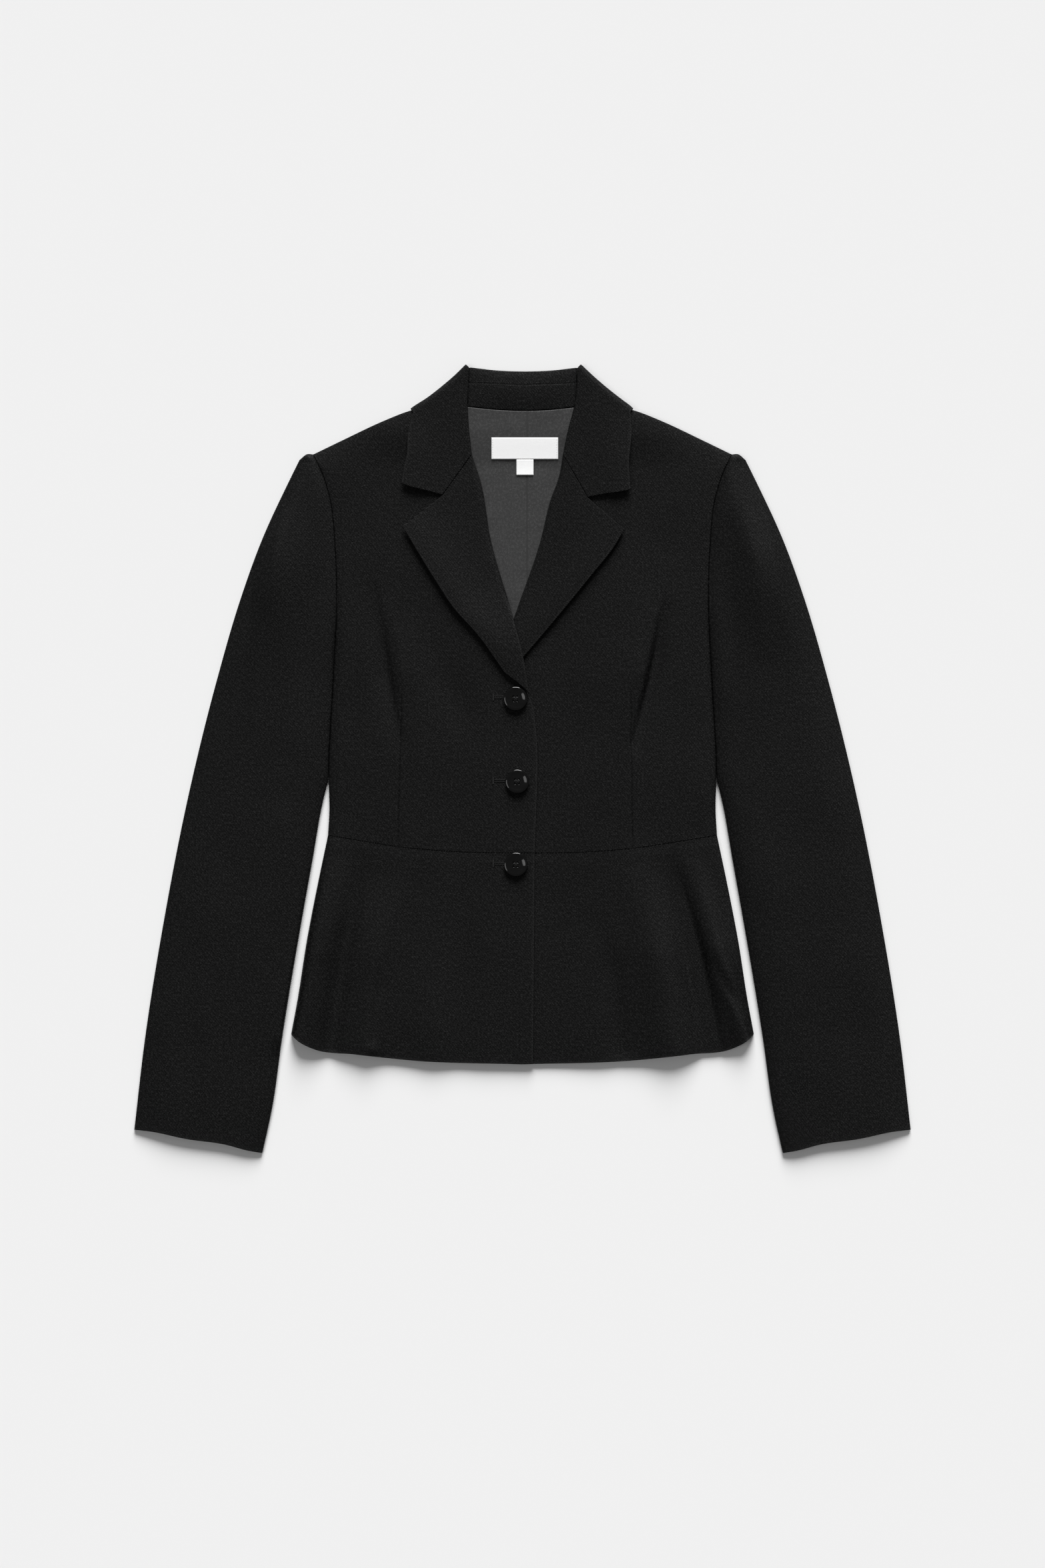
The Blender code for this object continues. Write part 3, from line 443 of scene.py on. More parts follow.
def peplum_plan(side, waist_edge, hem_edge, row_step, column_step, shift):
    """Return a peplum's plan: a Coons patch from waist to hem, side seam to the far edge.

    The far edge runs straight from waist_edge to hem_edge, or is the other side seam.
    """
    levels = PEPLUM_SIDE[0][1] - PEPLUM_SIDE_HEIGHT * crowded(PEPLUM_SIDE_HEIGHT, row_step)
    first = side_line(PEPLUM_SIDE, side, levels)
    shares = crowded(abs(first[0, 0] - waist_edge), column_step)
    top = across_waist(first[0, 0], waist_edge, shares, -shift)
    across = first[-1, 0] + (hem_edge - first[-1, 0]) * shares
    bottom = np.column_stack([across, level(HEM, across)])
    first[0] = top[0]
    last = top[-1] + (bottom[-1] - top[-1]) * row_shares(first)[:, None]
    if waist_edge == WAIST_END:
        last = mirrored(first, -1)
    return fill(top, bottom, first, last)


peplum_back_piece = laid(
    "back_peplum", "peplum_back",
    peplum_plan(-1, WAIST_END, HEM_END, 6, 5, SEAM_SHIFT + UNDER_SHIFT),
    UNDER_WALL, 0)


# Under sleeves. The lower halves of the two-piece sleeves, with the same outline as the
# upper ones. They run beside the body from the shoulder to the waist, and free to the cuff.
CAP_END_Y, CUFF_OUTER_Y = 259.8, -322.7
SLEEVE_INNER = [
    (168.6, -17), (173.4, -36), (182.7, -88), (192, -140), (209.4, -245), (217.7, -303),
    (226.4, -343),
]
SLEEVE_OUTER = [
    (194, 259.8), (202.6, 242.4), (226.8, 190), (245.6, 138), (266, 68), (291.5, -36),
    (311.8, -140), (328.6, -245), (337.7, -322.7),
]
SLEEVE_CAP = [(182, 264.6), (187, 264.9), (194, 259.8)]
CUFF = [
    (226.4, -343), (240, -340.5), (257.1, -335.8), (292.3, -330.6), (323.4, -324.2),
    (337.7, -322.7),
]
SLEEVE_LENGTH, SLEEVE_BREADTH = 610, 105


def sleeve_plan(side, row_step, column_step, under):
    """Return the plan of a sleeve: a Coons patch from the cap to the cuff, seam to outer fold.

    Under is 1 for the under sleeve, whose armhole seam lies a little beside, and else 0.
    """
    down = crowded(SLEEVE_LENGTH, row_step)
    shares = crowded(SLEEVE_BREADTH, column_step)
    levels = SHOULDER_Y + down * (CUFF_INNER_Y - SHOULDER_Y)
    beside = half_width(BODY_SIDE, levels) + SEAM_SHIFT + under * under_shift(levels)
    inner = np.where(levels >= SLEEVE_FREE_Y, beside, half_width(SLEEVE_INNER, levels))
    first = mirrored(np.column_stack([inner, levels]), side)
    last = side_line(SLEEVE_OUTER, side, CAP_END_Y + down * (CUFF_OUTER_Y - CAP_END_Y))
    cap, cuff = curve(mirrored(SLEEVE_CAP, side), shares), curve(mirrored(CUFF, side), shares)
    return fill(cap, cuff, first, last)


for side, hand in HANDS.items():
    laid("under_sleeve_" + hand, "sleeve_under_" + hand, sleeve_plan(side, 8, 6, 1),
         UNDER_WALL, 0)


# Back lining. Smooth dark grey lining, seen only inside the neck opening, with a seam down
# the middle of the back and a few soft wrinkles. It lies on the back bodice.
LINING_RIGHT_EDGE = [
    (-51, 305.6), (-48, 264.5), (-40, 239.5), (-32, 191.4), (-12.1, 122.7), (-11, 116),
]
LINING_LEFT_EDGE = [
    (48, 305), (39.2, 264.4), (28.5, 225.3), (19.7, 189.8), (-3.4, 122.4), (-5, 116),
]


def distance(plan, line):
    """Return how far each point of a plan lies from the nearest stretch of a line."""
    nearest = np.full(plan.shape[:-1], np.inf)
    for start, end in zip(line[:-1], line[1:]):
        along = end - start
        share = np.clip(((plan - start) @ along) / (along @ along), 0, 1)
        foot = start + share[..., None] * along
        nearest = np.minimum(nearest, np.linalg.norm(plan - foot, axis=-1))
    return nearest


def fold_height(x, y, folds):
    """Return the summed folds: each is its height times e to the minus squared distance.

    The height runs along the fold from start to end, and the distance is taken in half
    widths, which differ on its two sides, so one flank may be steeper than the other.
    """
    plan = np.stack([x, y], axis=-1)
    total = np.zeros(x.shape)
    for x1, y1, h1, x2, y2, h2, x3, y3, h3, outside, inside in folds:
        line = curve([(x1, y1), (x2, y2), (x3, y3)], np.linspace(0, 1, 12))
        beside = np.interp(y, line[::-1, 1], line[::-1, 0])
        half = np.where(np.abs(x) > np.abs(beside), outside, inside)
        height = np.interp(y, (y3, y2, y1), (h3, h2, h1))
        total += height * np.exp(-(distance(plan, line) / half) ** 2)
    return total


def drift(x, y, height, reach, seed):
    """Return soft unevenness: nine plane waves of random direction, length and phase, summed.

    A wave is 0.7 to 1.9 reaches long.
    """
    random = np.random.default_rng(seed)
    total = np.zeros(x.shape)
    waves = random.uniform((0, 0.7, 0), (math.pi, 1.9, math.tau), (9, 3))
    for direction, length, phase in waves:
        way = x * math.cos(direction) + y * math.sin(direction)
        total += np.sin(math.tau * way / (reach * length) + phase) / 3
    return height * total


def over_lining(x, y):
    """Return the height just above the lining, where the next piece lies."""
    return back_top(x, y) + 2 * CLEAR + LINING_WALL


# Wrinkles: x, y and height at three places, then the half widths outside and inside
LINING_WRINKLES = [
    (-20, 262, 0.1, -22, 225, 0.4, -14, 170, 0.1, 3, 3.5),
    (15, 246, 0.2, 12, 210, 0.5, 4, 150, 0.1, 2.5, 4),
    (-8, 240, 0.1, -9, 200, 0.35, -8, 140, 0.1, 3, 2.5),
    (-38, 296, 0.1, -36, 270, 0.5, -30, 232, 0.1, 3, 2.5),
    (38, 298, 0.2, 36, 284, 0.5, 30, 262, 0.2, 3, 4),
    (-12, 300, 0.1, -10, 292, 0.4, -6, 282, 0.3, 3, 3),
]
LINING_SEAM_X, LINING_SEAM_DEPTH, LINING_SEAM_HALF = 3.9, 0.4, 0.45
SEAM_SHADE, SEAM_SHADE_HALF, WRINKLE_LIMIT = 2.2, 0.42, 0.25
lining_rows, lining_shares = crowded(192, 1.8), crowded(80, 0.6)
lining_first = curve(LINING_RIGHT_EDGE, lining_rows)
lining_last = curve(LINING_LEFT_EDGE, lining_rows)
lining_bottom = lining_first[-1] + (lining_last[-1] - lining_first[-1]) * lining_shares[:, None]
lining_plan = fill(curve(NECK_SEAM, lining_shares) - (0, SEAM_SHIFT), lining_bottom,
                   lining_first, lining_last)
lining_x, lining_y = lining_plan[..., 0], lining_plan[..., 1]
lining_floor = back_top(lining_x, lining_y) + CLEAR
from_seam = lining_x - LINING_SEAM_X
wrinkles = fold_height(lining_x, lining_y, LINING_WRINKLES)
wrinkles = wrinkles + drift(lining_x, lining_y, 0.1, 22, 3)
wrinkles = WRINKLE_LIMIT * np.tanh(wrinkles / WRINKLE_LIMIT)
wrinkles = wrinkles - LINING_SEAM_DEPTH * np.exp(-(from_seam / LINING_SEAM_HALF) ** 2)
LINING_SATIN = woven_finish("grey_lining", 0.029, 0.058, 1500, 0.5, 0.3, 0.3)
lining_piece = laid("back_lining", "lining_back", lining_plan,
                    lining_floor + LINING_WALL + wrinkles, lining_floor,
                    LINING_SATIN)
# Painted shade: the lining is painted darker along its middle seam, in its groove.
paint_light_and_wear(lining_piece, -SEAM_SHADE * np.exp(-(from_seam / SEAM_SHADE_HALF) ** 2))


# Neck label and size tab. Two bare white woven labels, stitched to the lining below the
# neck seam, the small one just under the other.
LABEL_WIDTH, LABEL_HEIGHT, LABEL_LEFT, LABEL_TOP = 58, 18.7, -27, 279.1
TAB_WIDTH, TAB_HEIGHT, TAB_LEFT = 14.9, 13.5, -5.3
LABEL_WALL, TUBE_SIDES = 1, 6
WOVEN_WHITE = woven_finish("woven_white", 0.98, 1, 2000, 0.8, 0.1, 0.25)


def woven_label(name, node, left, top, width, height):
    """Make a bare label: an even grid laid over the lining, with both faces parallel."""
    x, y = np.meshgrid(left + width * crowded(width, 1), top - height * crowded(height, 1))
    floor = over_lining(x, y)
    laid(name, node, np.dstack([x, y]), floor + LABEL_WALL, floor,
         WOVEN_WHITE)


def ring_faces(index):
    """Return the quads between rings of points, from their numbers, with a row for each ring."""
    after = np.roll(index, -1, axis=1)
    quads = np.stack([index[:-1], after[:-1], after[1:], index[1:]], axis=-1)
    return quads.reshape(-1, 4).tolist()


def tubes(name, runs, radius, finish):
    """Make thread: a tube along each run of points, narrowed at both of its ends.

    Every ring lies across the run: r (side cos t + up sin t), with t in even steps.
    """
    points, faces = [], []
    turns = np.arange(TUBE_SIDES) * math.tau / TUBE_SIDES
    for run in runs:
        along = np.gradient(run, axis=0)
        along /= np.linalg.norm(along, axis=1)[:, None]
        beside = np.cross(along, (0, 0, 1)) + (1e-6, 0, 0)
        beside /= np.linalg.norm(beside, axis=1)[:, None]
        up = np.cross(beside, along)
        size = np.full(len(run), radius)
        size[[0, -1]] *= 0.4
        rings = run[:, None] + size[:, None, None] * (
            beside[:, None] * np.cos(turns)[:, None] + up[:, None] * np.sin(turns)[:, None])
        index = len(points) + np.arange(len(run) * TUBE_SIDES).reshape(-1, TUBE_SIDES)
        points += rings.reshape(-1, 3).tolist()
        faces += [*ring_faces(index), index[0][::-1].tolist(), index[-1].tolist()]
    placed(name, points, faces, finish)


def stitch(start, end, height, arch):
    """Return a stitch from start to end: a half sine arch over a height function of x and y."""
    share = np.linspace(0, 1, 5)
    x = start[0] + (end[0] - start[0]) * share
    y = start[1] + (end[1] - start[1]) * share
    return np.column_stack([x, y, height(x, y) + arch * np.sin(math.pi * share)])


def label_top(x, y):
    """Return the upper face of a label."""
    return over_lining(x, y) + LABEL_WALL


woven_label("neck_label_cloth", "neck_label", LABEL_LEFT, LABEL_TOP, LABEL_WIDTH, LABEL_HEIGHT)
woven_label("size_tab_cloth", "size_tab", TAB_LEFT, LABEL_TOP - LABEL_HEIGHT - CLEAR,
            TAB_WIDTH, TAB_HEIGHT)
WHITE_THREAD = plain_finish("white_thread", 0.85, 0.6, 0.3)
label_runs = [
    stitch((x, y), (x + 0.2, y - 1.5), label_top, 0.2)
    for x in (LABEL_LEFT + 1.1, LABEL_LEFT + LABEL_WIDTH - 1.3)
    for y in np.arange(LABEL_TOP - 1, LABEL_TOP - LABEL_HEIGHT + 2, -2.1)]
tubes("label_stitches", label_runs, 0.14, WHITE_THREAD)


# Front bodices. The two fronts of the body, with darts from the bust to the waist. The
# right front lies over the left one and is buttoned to it. Their cut edges are turned under.
UNDERARM_Y, BELOW_ARM_Y = 147, 95
EDGE_WALL, ROUND_WIDTH, SHOULDER_ROUND, GROOVE = 1, 11, 24, 0.3
STEP_START_X, STEP_END_X = -62, -27
STEP_FULL_Y, STEP_END_Y = 93, 160
# Broad fullness: x, y, reach across, reach along, height
FULLNESS = [
    (-100, 110, 46, 75, 1.5),
    (100, 110, 46, 75, 1.5),
    (-92, -20, 48, 42, 1.2),
    (92, -20, 48, 42, 1.2),
    (-90, -190, 50, 60, 1.2),
    (85, -190, 46, 60, 0.9),
    (-215, 158, 15, 42, 4.6),
    (213, 162, 16, 42, 4.2),
    (-186, 205, 14, 44, 1.2),
    (186, 205, 14, 44, 1.2),
]
LOFT, LOFT_START_X, LOFT_END_X = 1.3, 22, 75
SOFTNESS = 0.2
# Folds: x, y, height at their start, at their middle and at their end, then the half width
# on the side away from the centre line and on the side towards it
RIGHT_FOLDS = [
    (-128.5, 147, -0.4, -117, 72, -2.8, -106.7, 13, -0.5, 12, 4),
    (-112, 130, 0.3, -104, 75, 1.3, -98, 20, 0.2, 6, 16),
    (-172, -84, 1.4, -189, -170, 7.4, -203, -244, 7.4, 10, 26),
    (-139, -90, -0.5, -151, -150, -3, -167, -252, -2.8, 10, 7),
    (-110, -100, 0.4, -126, -170, 3.4, -134, -252, 4.8, 20, 12),
    (-121, -150, 0, -126, -200, -1.4, -130, -244, -1, 4, 5),
    (-60, -150, 0, -76, -210, 1, -80, -258, 1.6, 14, 16),
    (-192, 250, 0.8, -210, 200, 1.6, -222, 140, 0.4, 9, 9),
    (-203, 236, 0.6, -216, 195, 1.8, -236, 60, 0.3, 6, 10),
    (-176, 225, 0.2, -181, 150, -0.9, -190, 60, -0.1, 8, 10),
    (-200, -20, 0.1, -222, -120, 1, -246, -240, 0.3, 14, 18),
    (-300, -180, 0, -288, -250, -0.6, -283, -325, -0.3, 16, 12),
    (-78, 120, 0, -62, 60, -0.9, -40, 10, -0.2, 12, 14),
]
LEFT_FOLDS = [
    (121.8, 128, -0.9, 112.5, 78, -3.6, 96.3, 13, -1, 9, 2.4),
    (112, 126, 0.6, 104, 75, 1.9, 90, 18, 0.4, 5, 16),
    (98, -90, 0.5, 118, -170, 4.8, 131, -254, 5.8, 20, 21),
    (130, -84, -0.4, 150, -165, -5.2, 167, -252, -4.6, 6.5, 14),
    (148, -86, 0.5, 170, -165, 5.8, 195, -243, 5.4, 10, 13),
    (163, -172, 0, 181, -203, -1.8, 196, -229, -1.2, 6, 3.5),
    (64, -130, 0, 78, -190, -1.5, 86, -252, -1.5, 9, 12),
    (184, 240, 0.6, 200, 180, 2, 211, 96, 0.6, 9, 12),
    (204, 225, 0.4, 222, 165, 1.1, 238, 90, 0.2, 7, 10),
    (176, 215, 0.1, 180, 140, -0.9, 188, 50, -0.1, 8, 10),
    (196, -30, 0.1, 214, -120, 0.9, 232, -230, 0.2, 14, 18),
    (296, -160, 0, 290, -240, -0.7, 292, -322, -0.3, 16, 12),
    (70, 70, 0, 55, 20, -0.8, 40, -30, -0.2, 14, 14),
]


def mound(x, y, row):
    """Return a round mound: height times e to the minus (across^2 + along^2) / 2, in reaches."""
    middle_x, middle_y, reach_x, reach_y, height = row
    across, along = (x - middle_x) / reach_x, (y - middle_y) / reach_y
    return height * np.exp(-(across**2 + along**2) / 2)


def front_floor(x, y):
    """Return the height just above the under layer, where the fronts lie."""
    return back_top(x, y) + CLEAR


def front_step(side, x, y):
    """Return how far the right front stands up over the edge of the left one."""
    over = ease(x, STEP_START_X, STEP_END_X) * (1 - ease(y, STEP_FULL_Y, STEP_END_Y))
    return (FRONT_WALL + CLEAR) * over * (side < 0)


def front_top(side, x, y):
    """Return the upper face: floor, wall, and the fullness, loft and folds above zero.

    Where these would come below zero they are held there softly: (f + root(f^2 + s^2)) / 2,
    where s is how softly.
    """
    folds = RIGHT_FOLDS if side < 0 else LEFT_FOLDS
    full = sum(mound(x, y, row) for row in FULLNESS) + fold_height(x, y, folds)
    full = full + LOFT * ease(np.abs(x), LOFT_START_X, LOFT_END_X) + drift(x, y, 0.25, 75, 7)
    held = 0.5 * (full + np.sqrt(full**2 + SOFTNESS**2))
    return front_floor(x, y) + FRONT_WALL + held + front_step(side, x, y)


def armhole_share(y):
    """Return how far down the armhole seam goes: to the floor only below the arm."""
    return GROOVE + (1 - GROOVE) * (1 - ease(y, BELOW_ARM_Y, UNDERARM_Y))


def rounded(plan, floor, top, wall, edges):
    """Return both heights of a wall whose named edges come down as quarter ellipses.

    Each edge is a line, the width of its rounding, and how much of the way down it goes.
    """
    height = top
    for line, width, amount in edges:
        share = 1 - np.clip(distance(plan, line) / width, 0, 1)
        low = top - np.maximum(top - floor - EDGE_WALL, 0) * amount
        height = np.minimum(height, low + (top - low) * np.sqrt(1 - share**2))
    return height, np.maximum(height - wall, floor)


def front_faces(side, plan, edges, crown=0):
    """Return both heights of a piece of the front whose edges are rounded."""
    x, y = plan[..., 0], plan[..., 1]
    return rounded(plan, front_floor(x, y) + front_step(side, x, y),
                   front_top(side, x, y) + crown, FRONT_WALL, edges)


DART_TOP_Y, DART_DEPTH, DART_HALF, DART_END = 62, 0.55, 0.45, 12
SEAM_STEPS = np.array([-3, -1.9, -1.1, -0.6, -0.25, 0, 0.25, 0.6, 1.1, 1.9, 3])
PRESSED_BRIM = 0.4
front_rows = SHOULDER_Y - BODY_HEIGHT * crowded(BODY_HEIGHT, 2.1)


def with_seam(shares, place, length):
    """Return shares set close together near one place, so a seam can dip there."""
    close = place + SEAM_STEPS / length
    return np.sort(np.concatenate([shares[np.abs(shares - place) > 4 / length], close]))


def onto_line(plan, column, line):
    """Bend a plan sideways so that one column follows a line, and the edges stay in place."""
    shares = row_shares(plan[len(plan) // 2])
    place = shares[column]
    fade = np.where(shares < place, shares / place, (1 - shares) / (1 - place))
    ends = np.array(line)
    wanted = np.interp(plan[:, column, 1], ends[::-1, 1], ends[::-1, 0])
    near = 1 - ease(plan[:, column, 1], ends[0, 1] + 10, ends[0, 1] + 70)
    plan[..., 0] += ((wanted - plan[:, column, 0]) * near)[:, None] * fade[None] ** 2


def front_bodice(side, inner, dart):
    """Make a front: a Coons patch from the shoulder to the waist, the side to the opening.

    The dart seam dips along its column by its depth times e to the minus its half widths.
    """
    reach = abs(inner[-2][0] - BODY_SIDE[6][0] * side)
    place = abs(dart[0][0] - BODY_SIDE[6][0] * side) / reach
    shares = with_seam(crowded(reach, 1.7), place, reach)
    column = int(np.argmin(np.abs(shares - place)))
    first = side_line(BODY_SIDE, side, front_rows, -SEAM_SHIFT)
    last = curve(inner, row_shares(first))
    bottom = across_waist(first[-1, 0], last[-1, 0], shares, SEAM_SHIFT)
    first[-1], last[-1] = bottom[0], bottom[-1]
    top = curve(mirrored(SHOULDER, side), shares)
    plan = fill(top, bottom, first, last)
    onto_line(plan, column, dart)
    x, y = plan[..., 0], plan[..., 1]
    outer, under = front_faces(side, plan, [
        (first[::3], ROUND_WIDTH, armhole_share(y)), (top[::3], SHOULDER_ROUND, 1)])
    beside = np.abs(x - x[:, column:column + 1])
    below_bust = 1 - ease(y, DART_TOP_Y - DART_END, DART_TOP_Y)
    outer = outer - DART_DEPTH * np.exp(-beside / DART_HALF) * below_bust
    return laid(HANDS[side] + "_front_bodice", "front_" + HANDS[side], plan, outer, under,
                brim=PRESSED_BRIM, sheen_and_wear=(3,))


left_front = front_bodice(1, dart=[(94, 65), (95.7, -77)], inner=[
    (58, 315), (54, 300), (45.5, 264.4), (34, 225.3), (23.5, 189.8), (-1, 122.4), (-13, 80),
    (-20, 58), (-22, 30), (-22, -82.2)])
right_front = front_bodice(-1, dart=[(-105.3, 65), (-108.5, -77)], inner=[
    (-58, 315), (-57, 300), (-54.5, 264.5), (-46, 239.5), (-35.5, 191.4), (-16.5, 122.7),
    (-8, 90), (2.5, 62), (9.3, 45), (11.6, 28), (11.6, -59), (10.7, -82.2)])


# Front peplums. Flared panels sewn to the fronts at the waist seam. Their flare falls in
# long soft folds near the side seams, and the hem is turned up inside.
FRONT_EDGE, FRONT_EDGE_AT_HEM, UNDERLAP_EDGE = 10.7, 9.3, -22
WAIST_TUCK, TUCK_REACH = 0.25, 9


def front_peplum(side, waist_edge, hem_edge):
    """Make a front peplum, tucked in a little at the waist seam."""
    plan = peplum_plan(side, waist_edge, hem_edge, 2, 1.6, SEAM_SHIFT)
    outer, under = front_faces(side, plan, [(plan[::3, 0], ROUND_WIDTH, 1)])
    outer = outer - WAIST_TUCK * (1 - ease(distance(plan, plan[0, ::3]), 0, TUCK_REACH))
    laid(HANDS[side] + "_front_peplum", "peplum_front_" + HANDS[side], plan, outer, under,
         brim=PRESSED_BRIM, sheen_and_wear=(1, 3))


front_peplum(1, UNDERLAP_EDGE, UNDERLAP_EDGE)
front_peplum(-1, FRONT_EDGE, FRONT_EDGE_AT_HEM)


# Upper sleeves. The upper halves of the two-piece sleeves, set in along the armhole. Each
# has a soft head at the shoulder, two long creases, and a gentle crown down to the cuff.
SLEEVE_CROWN, SLEEVE_ROUND = 2.4, 30

for side, hand in HANDS.items():
    upper_plan = sleeve_plan(side, 2.6, 1.8, 0)
    crown = SLEEVE_CROWN * (1 - np.abs(2 * row_shares(upper_plan[0]) - 1) ** 3)[None]
    upper_outer, upper_under = front_faces(side, upper_plan, [
        (upper_plan[::4, 0], ROUND_WIDTH, armhole_share(upper_plan[..., 1])),
        (upper_plan[::4, -1], SLEEVE_ROUND, 1), (upper_plan[0, ::3], ROUND_WIDTH, 1)], crown)
    laid("upper_sleeve_" + hand, "sleeve_top_" + hand, upper_plan, upper_outer, upper_under,
         sheen_and_wear=(1,))


# Lapels. The turned back front facings, each folded over at its roll line and cut to a
# point under the notch. They lie on the fronts, and their free edges lift a little.
# Where the right lapel passes over the left one: a mound's row, as in the fullness table
CROSSING = (-4, 98, 26, 46, 1.9)
LIFT_REACH, LIFT_START_Y, LIFT_FULL_Y = 22, 60, 130
ROLL_WIDTH, ROLL_START_Y, ROLL_FULL_Y = 5, 124, 150
TURNED_BRIM = 0.8


def broken_line(points, shares):
    """Return places at shares of the length of straight runs between points."""
    bends = np.array(points, dtype=float)
    run = lengths_along(bends)
    wanted = np.asarray(shares) * run[-1]
    return np.column_stack([np.interp(wanted, run, bends[:, axis]) for axis in (0, 1)])


def lapel(side, roll, edge, notch, tip, lift):
    """Make a lapel: a Coons patch from gorge and notch to its lower end, roll to free edge.

    Where the right one crosses the left one it lies on a mound, and its roll edge stays up.
    """
    rows, shares = crowded(215, 2), crowded(72, 1.8)
    first, last = curve(roll, rows), curve(edge, rows)
    plan = fill(broken_line([roll[0], notch, edge[0]], shares), curve(tip, shares), first, last)
    x, y = plan[..., 0], plan[..., 1]
    near_edge = np.exp(-(distance(plan, last[::3]) / LIFT_REACH) ** 2)
    seat = front_top(side, x, y) + mound(x, y, CROSSING) * (side < 0)
    height = seat + FACING_GAP + LAPEL_WALL + lift * near_edge * ease(y, LIFT_START_Y, LIFT_FULL_Y)
    down = ease(y, ROLL_START_Y, ROLL_FULL_Y) if side < 0 else 1
    outer, under = rounded(plan, over_lining(x, y), height, LAPEL_WALL,
                           [(first[::3], ROLL_WIDTH, down)])
    laid(HANDS[side] + "_lapel", "lapel_" + HANDS[side], plan, outer, under,
         brim=TURNED_BRIM, sheen_and_wear=(2, 3))


lapel(1, lift=2, notch=(56.8, 227), tip=[(-11.5, 110), (-3, 84)],
      roll=[(35.2, 264.4), (31.6, 244.8), (24.5, 225.3), (15.7, 189.8), (-7.4, 122.4),
            (-11.5, 110)],
      edge=[(88.7, 199.5), (79.5, 183.6), (61.8, 161.4), (29.9, 122.4), (1.2, 88.7), (-3, 84)])
lapel(-1, lift=2.9, notch=(-69.7, 229), tip=[(5.8, 56.8), (0, 62.3), (-15.3, 74.5)],
      roll=[(-44.1, 264.4), (-36, 239.5), (-27.8, 191.4), (-8.1, 122.7), (0.6, 88.7),
            (5.8, 56.8)],
      edge=[(-104.5, 201.8), (-76.7, 156), (-58.9, 129.4), (-41.2, 110), (-15.3, 74.5)])


# Collar. One strip folded over round the neck: a leaf lies on each shoulder, and between
# them the fall is turned down under the back neck. Its notch ends are square.
FALL_FOLD = [(-22, 337.6), (2.3, 336.8), (24, 337.5)]
FALL_EDGE = [(-50, 291.5), (2.3, 289), (52, 291.5)]
LEAF_LIFT, LEAF_EDGE_LIFT, LEAF_ROLL_DROP = 2, 0.9, 0.7
NOTCH_SHARE, NOTCH_FULL_SHARE = 0.42, 0.85
DROP_END_Y, DROP_GONE_Y = 300, 335
LEAF_HEIGHT = 2 * LAPEL_WALL + UNDER_WALL + FRONT_WALL + 2 * CLEAR + FACING_GAP
BEND_ROWS = 13
leaf_shares = crowded(62, 1.8)
leaf_rows = np.concatenate([crowded(200, 2.2)[:-8], [1]])


def leaf(side, roll, edge, notch, contour):
    """Return the middle surface and the outward direction of one leaf and of its bend.

    Rows run from the notch up to the shoulder, then round under it: the bend is a half
    circle of half the leaf's height, turned about a line just inside the contour.
    """
    split = np.searchsorted(leaf_shares, NOTCH_SHARE)
    gorge = np.concatenate([
        broken_line([roll[0], notch[0]], leaf_shares[:split] / leaf_shares[split]),
        curve(notch, (leaf_shares[split:] - leaf_shares[split]) / (1 - leaf_shares[split]))])
    brim = curve(contour, row_shares(gorge))
    along = np.gradient(brim, axis=0)
    along /= np.linalg.norm(along, axis=1)[:, None]
    inward = side * np.column_stack([along[:, 1], -along[:, 0]])
    turn = LEAF_HEIGHT / 2
    fold = brim + turn * inward
    first = curve([*roll, tuple(fold[0])], leaf_rows)
    last = curve([*edge, tuple(fold[-1])], leaf_rows)
    plan = fill(gorge, fold, first, last)
    x, y = plan[..., 0], plan[..., 1]
    near_edge = LEAF_EDGE_LIFT * np.exp(-(distance(plan, last[::3]) / LIFT_REACH) ** 2)
    raised = near_edge * (1 - ease(leaf_rows, 0.4, 1))[:, None]
    near_roll = 1 - np.clip(distance(plan, first[::3]) / ROLL_WIDTH, 0, 1)
    drop = LEAF_ROLL_DROP * (1 - np.sqrt(1 - near_roll**2))
    drop = drop * (1 - ease(y, DROP_END_Y, DROP_GONE_Y))
    start = front_top(side, x[:1], y[:1]) + FACING_GAP + LAPEL_WALL / 2
    start = start + LEAF_LIFT * ease(leaf_shares, NOTCH_SHARE, NOTCH_FULL_SHARE)
    slope = (LEAF_HEIGHT - LAPEL_WALL / 2 - start) * leaf_rows[:, None]
    flat = np.dstack([plan, start + slope + raised - drop])
    up = np.zeros(flat.shape)
    up[..., 2] = 1
    angles = np.linspace(0, math.pi, BEND_ROWS)[1:, None, None]
    radius = turn - LAPEL_WALL / 2
    reach = turn - radius * np.sin(angles)
    height = turn + radius * np.cos(angles) + np.zeros((1, len(brim), 1))
    bend = np.concatenate([brim[None] + reach * inward[None], height], axis=-1)
    lean_up = np.cos(angles) + np.zeros(height.shape)
    lean = np.concatenate([-np.sin(angles) * inward[None], lean_up], axis=-1)
    return np.concatenate([flat, bend]), np.concatenate([up, lean])


right_leaf, right_out = leaf(
    -1, roll=[(-44.1, 264.5), (-46.5, 286), (-47.6, 305)],
    edge=[(-105.4, 239.2), (-103.2, 253), (-100.9, 263.3), (-99.8, 282)],
    notch=[(-69.7, 229.1), (-87.3, 233.6), (-100, 236.9), (-105.4, 239.2)],
    contour=[(-49.3, 343), (-58.9, 333.6), (-71.3, 323), (-84.7, 312.8), (-93, 307.6),
             (-97.6, 304.4)])
left_leaf, left_out = leaf(
    1, roll=[(35.2, 264.5), (39.6, 286), (45, 307)],
    edge=[(94.1, 233.8), (92.8, 259), (95.1, 284)],
    notch=[(56.8, 227.1), (70.7, 229.8), (88, 232.2), (94.1, 233.8)],
    contour=[(50.8, 343), (65.5, 329.4), (76, 320.6), (87.6, 311.6), (93, 307.6), (96.6, 304.4)])
right_end, left_end = right_leaf[-1, :, :2], left_leaf[-1, :, :2]
fall_shares = np.linspace(0, 1, 46)
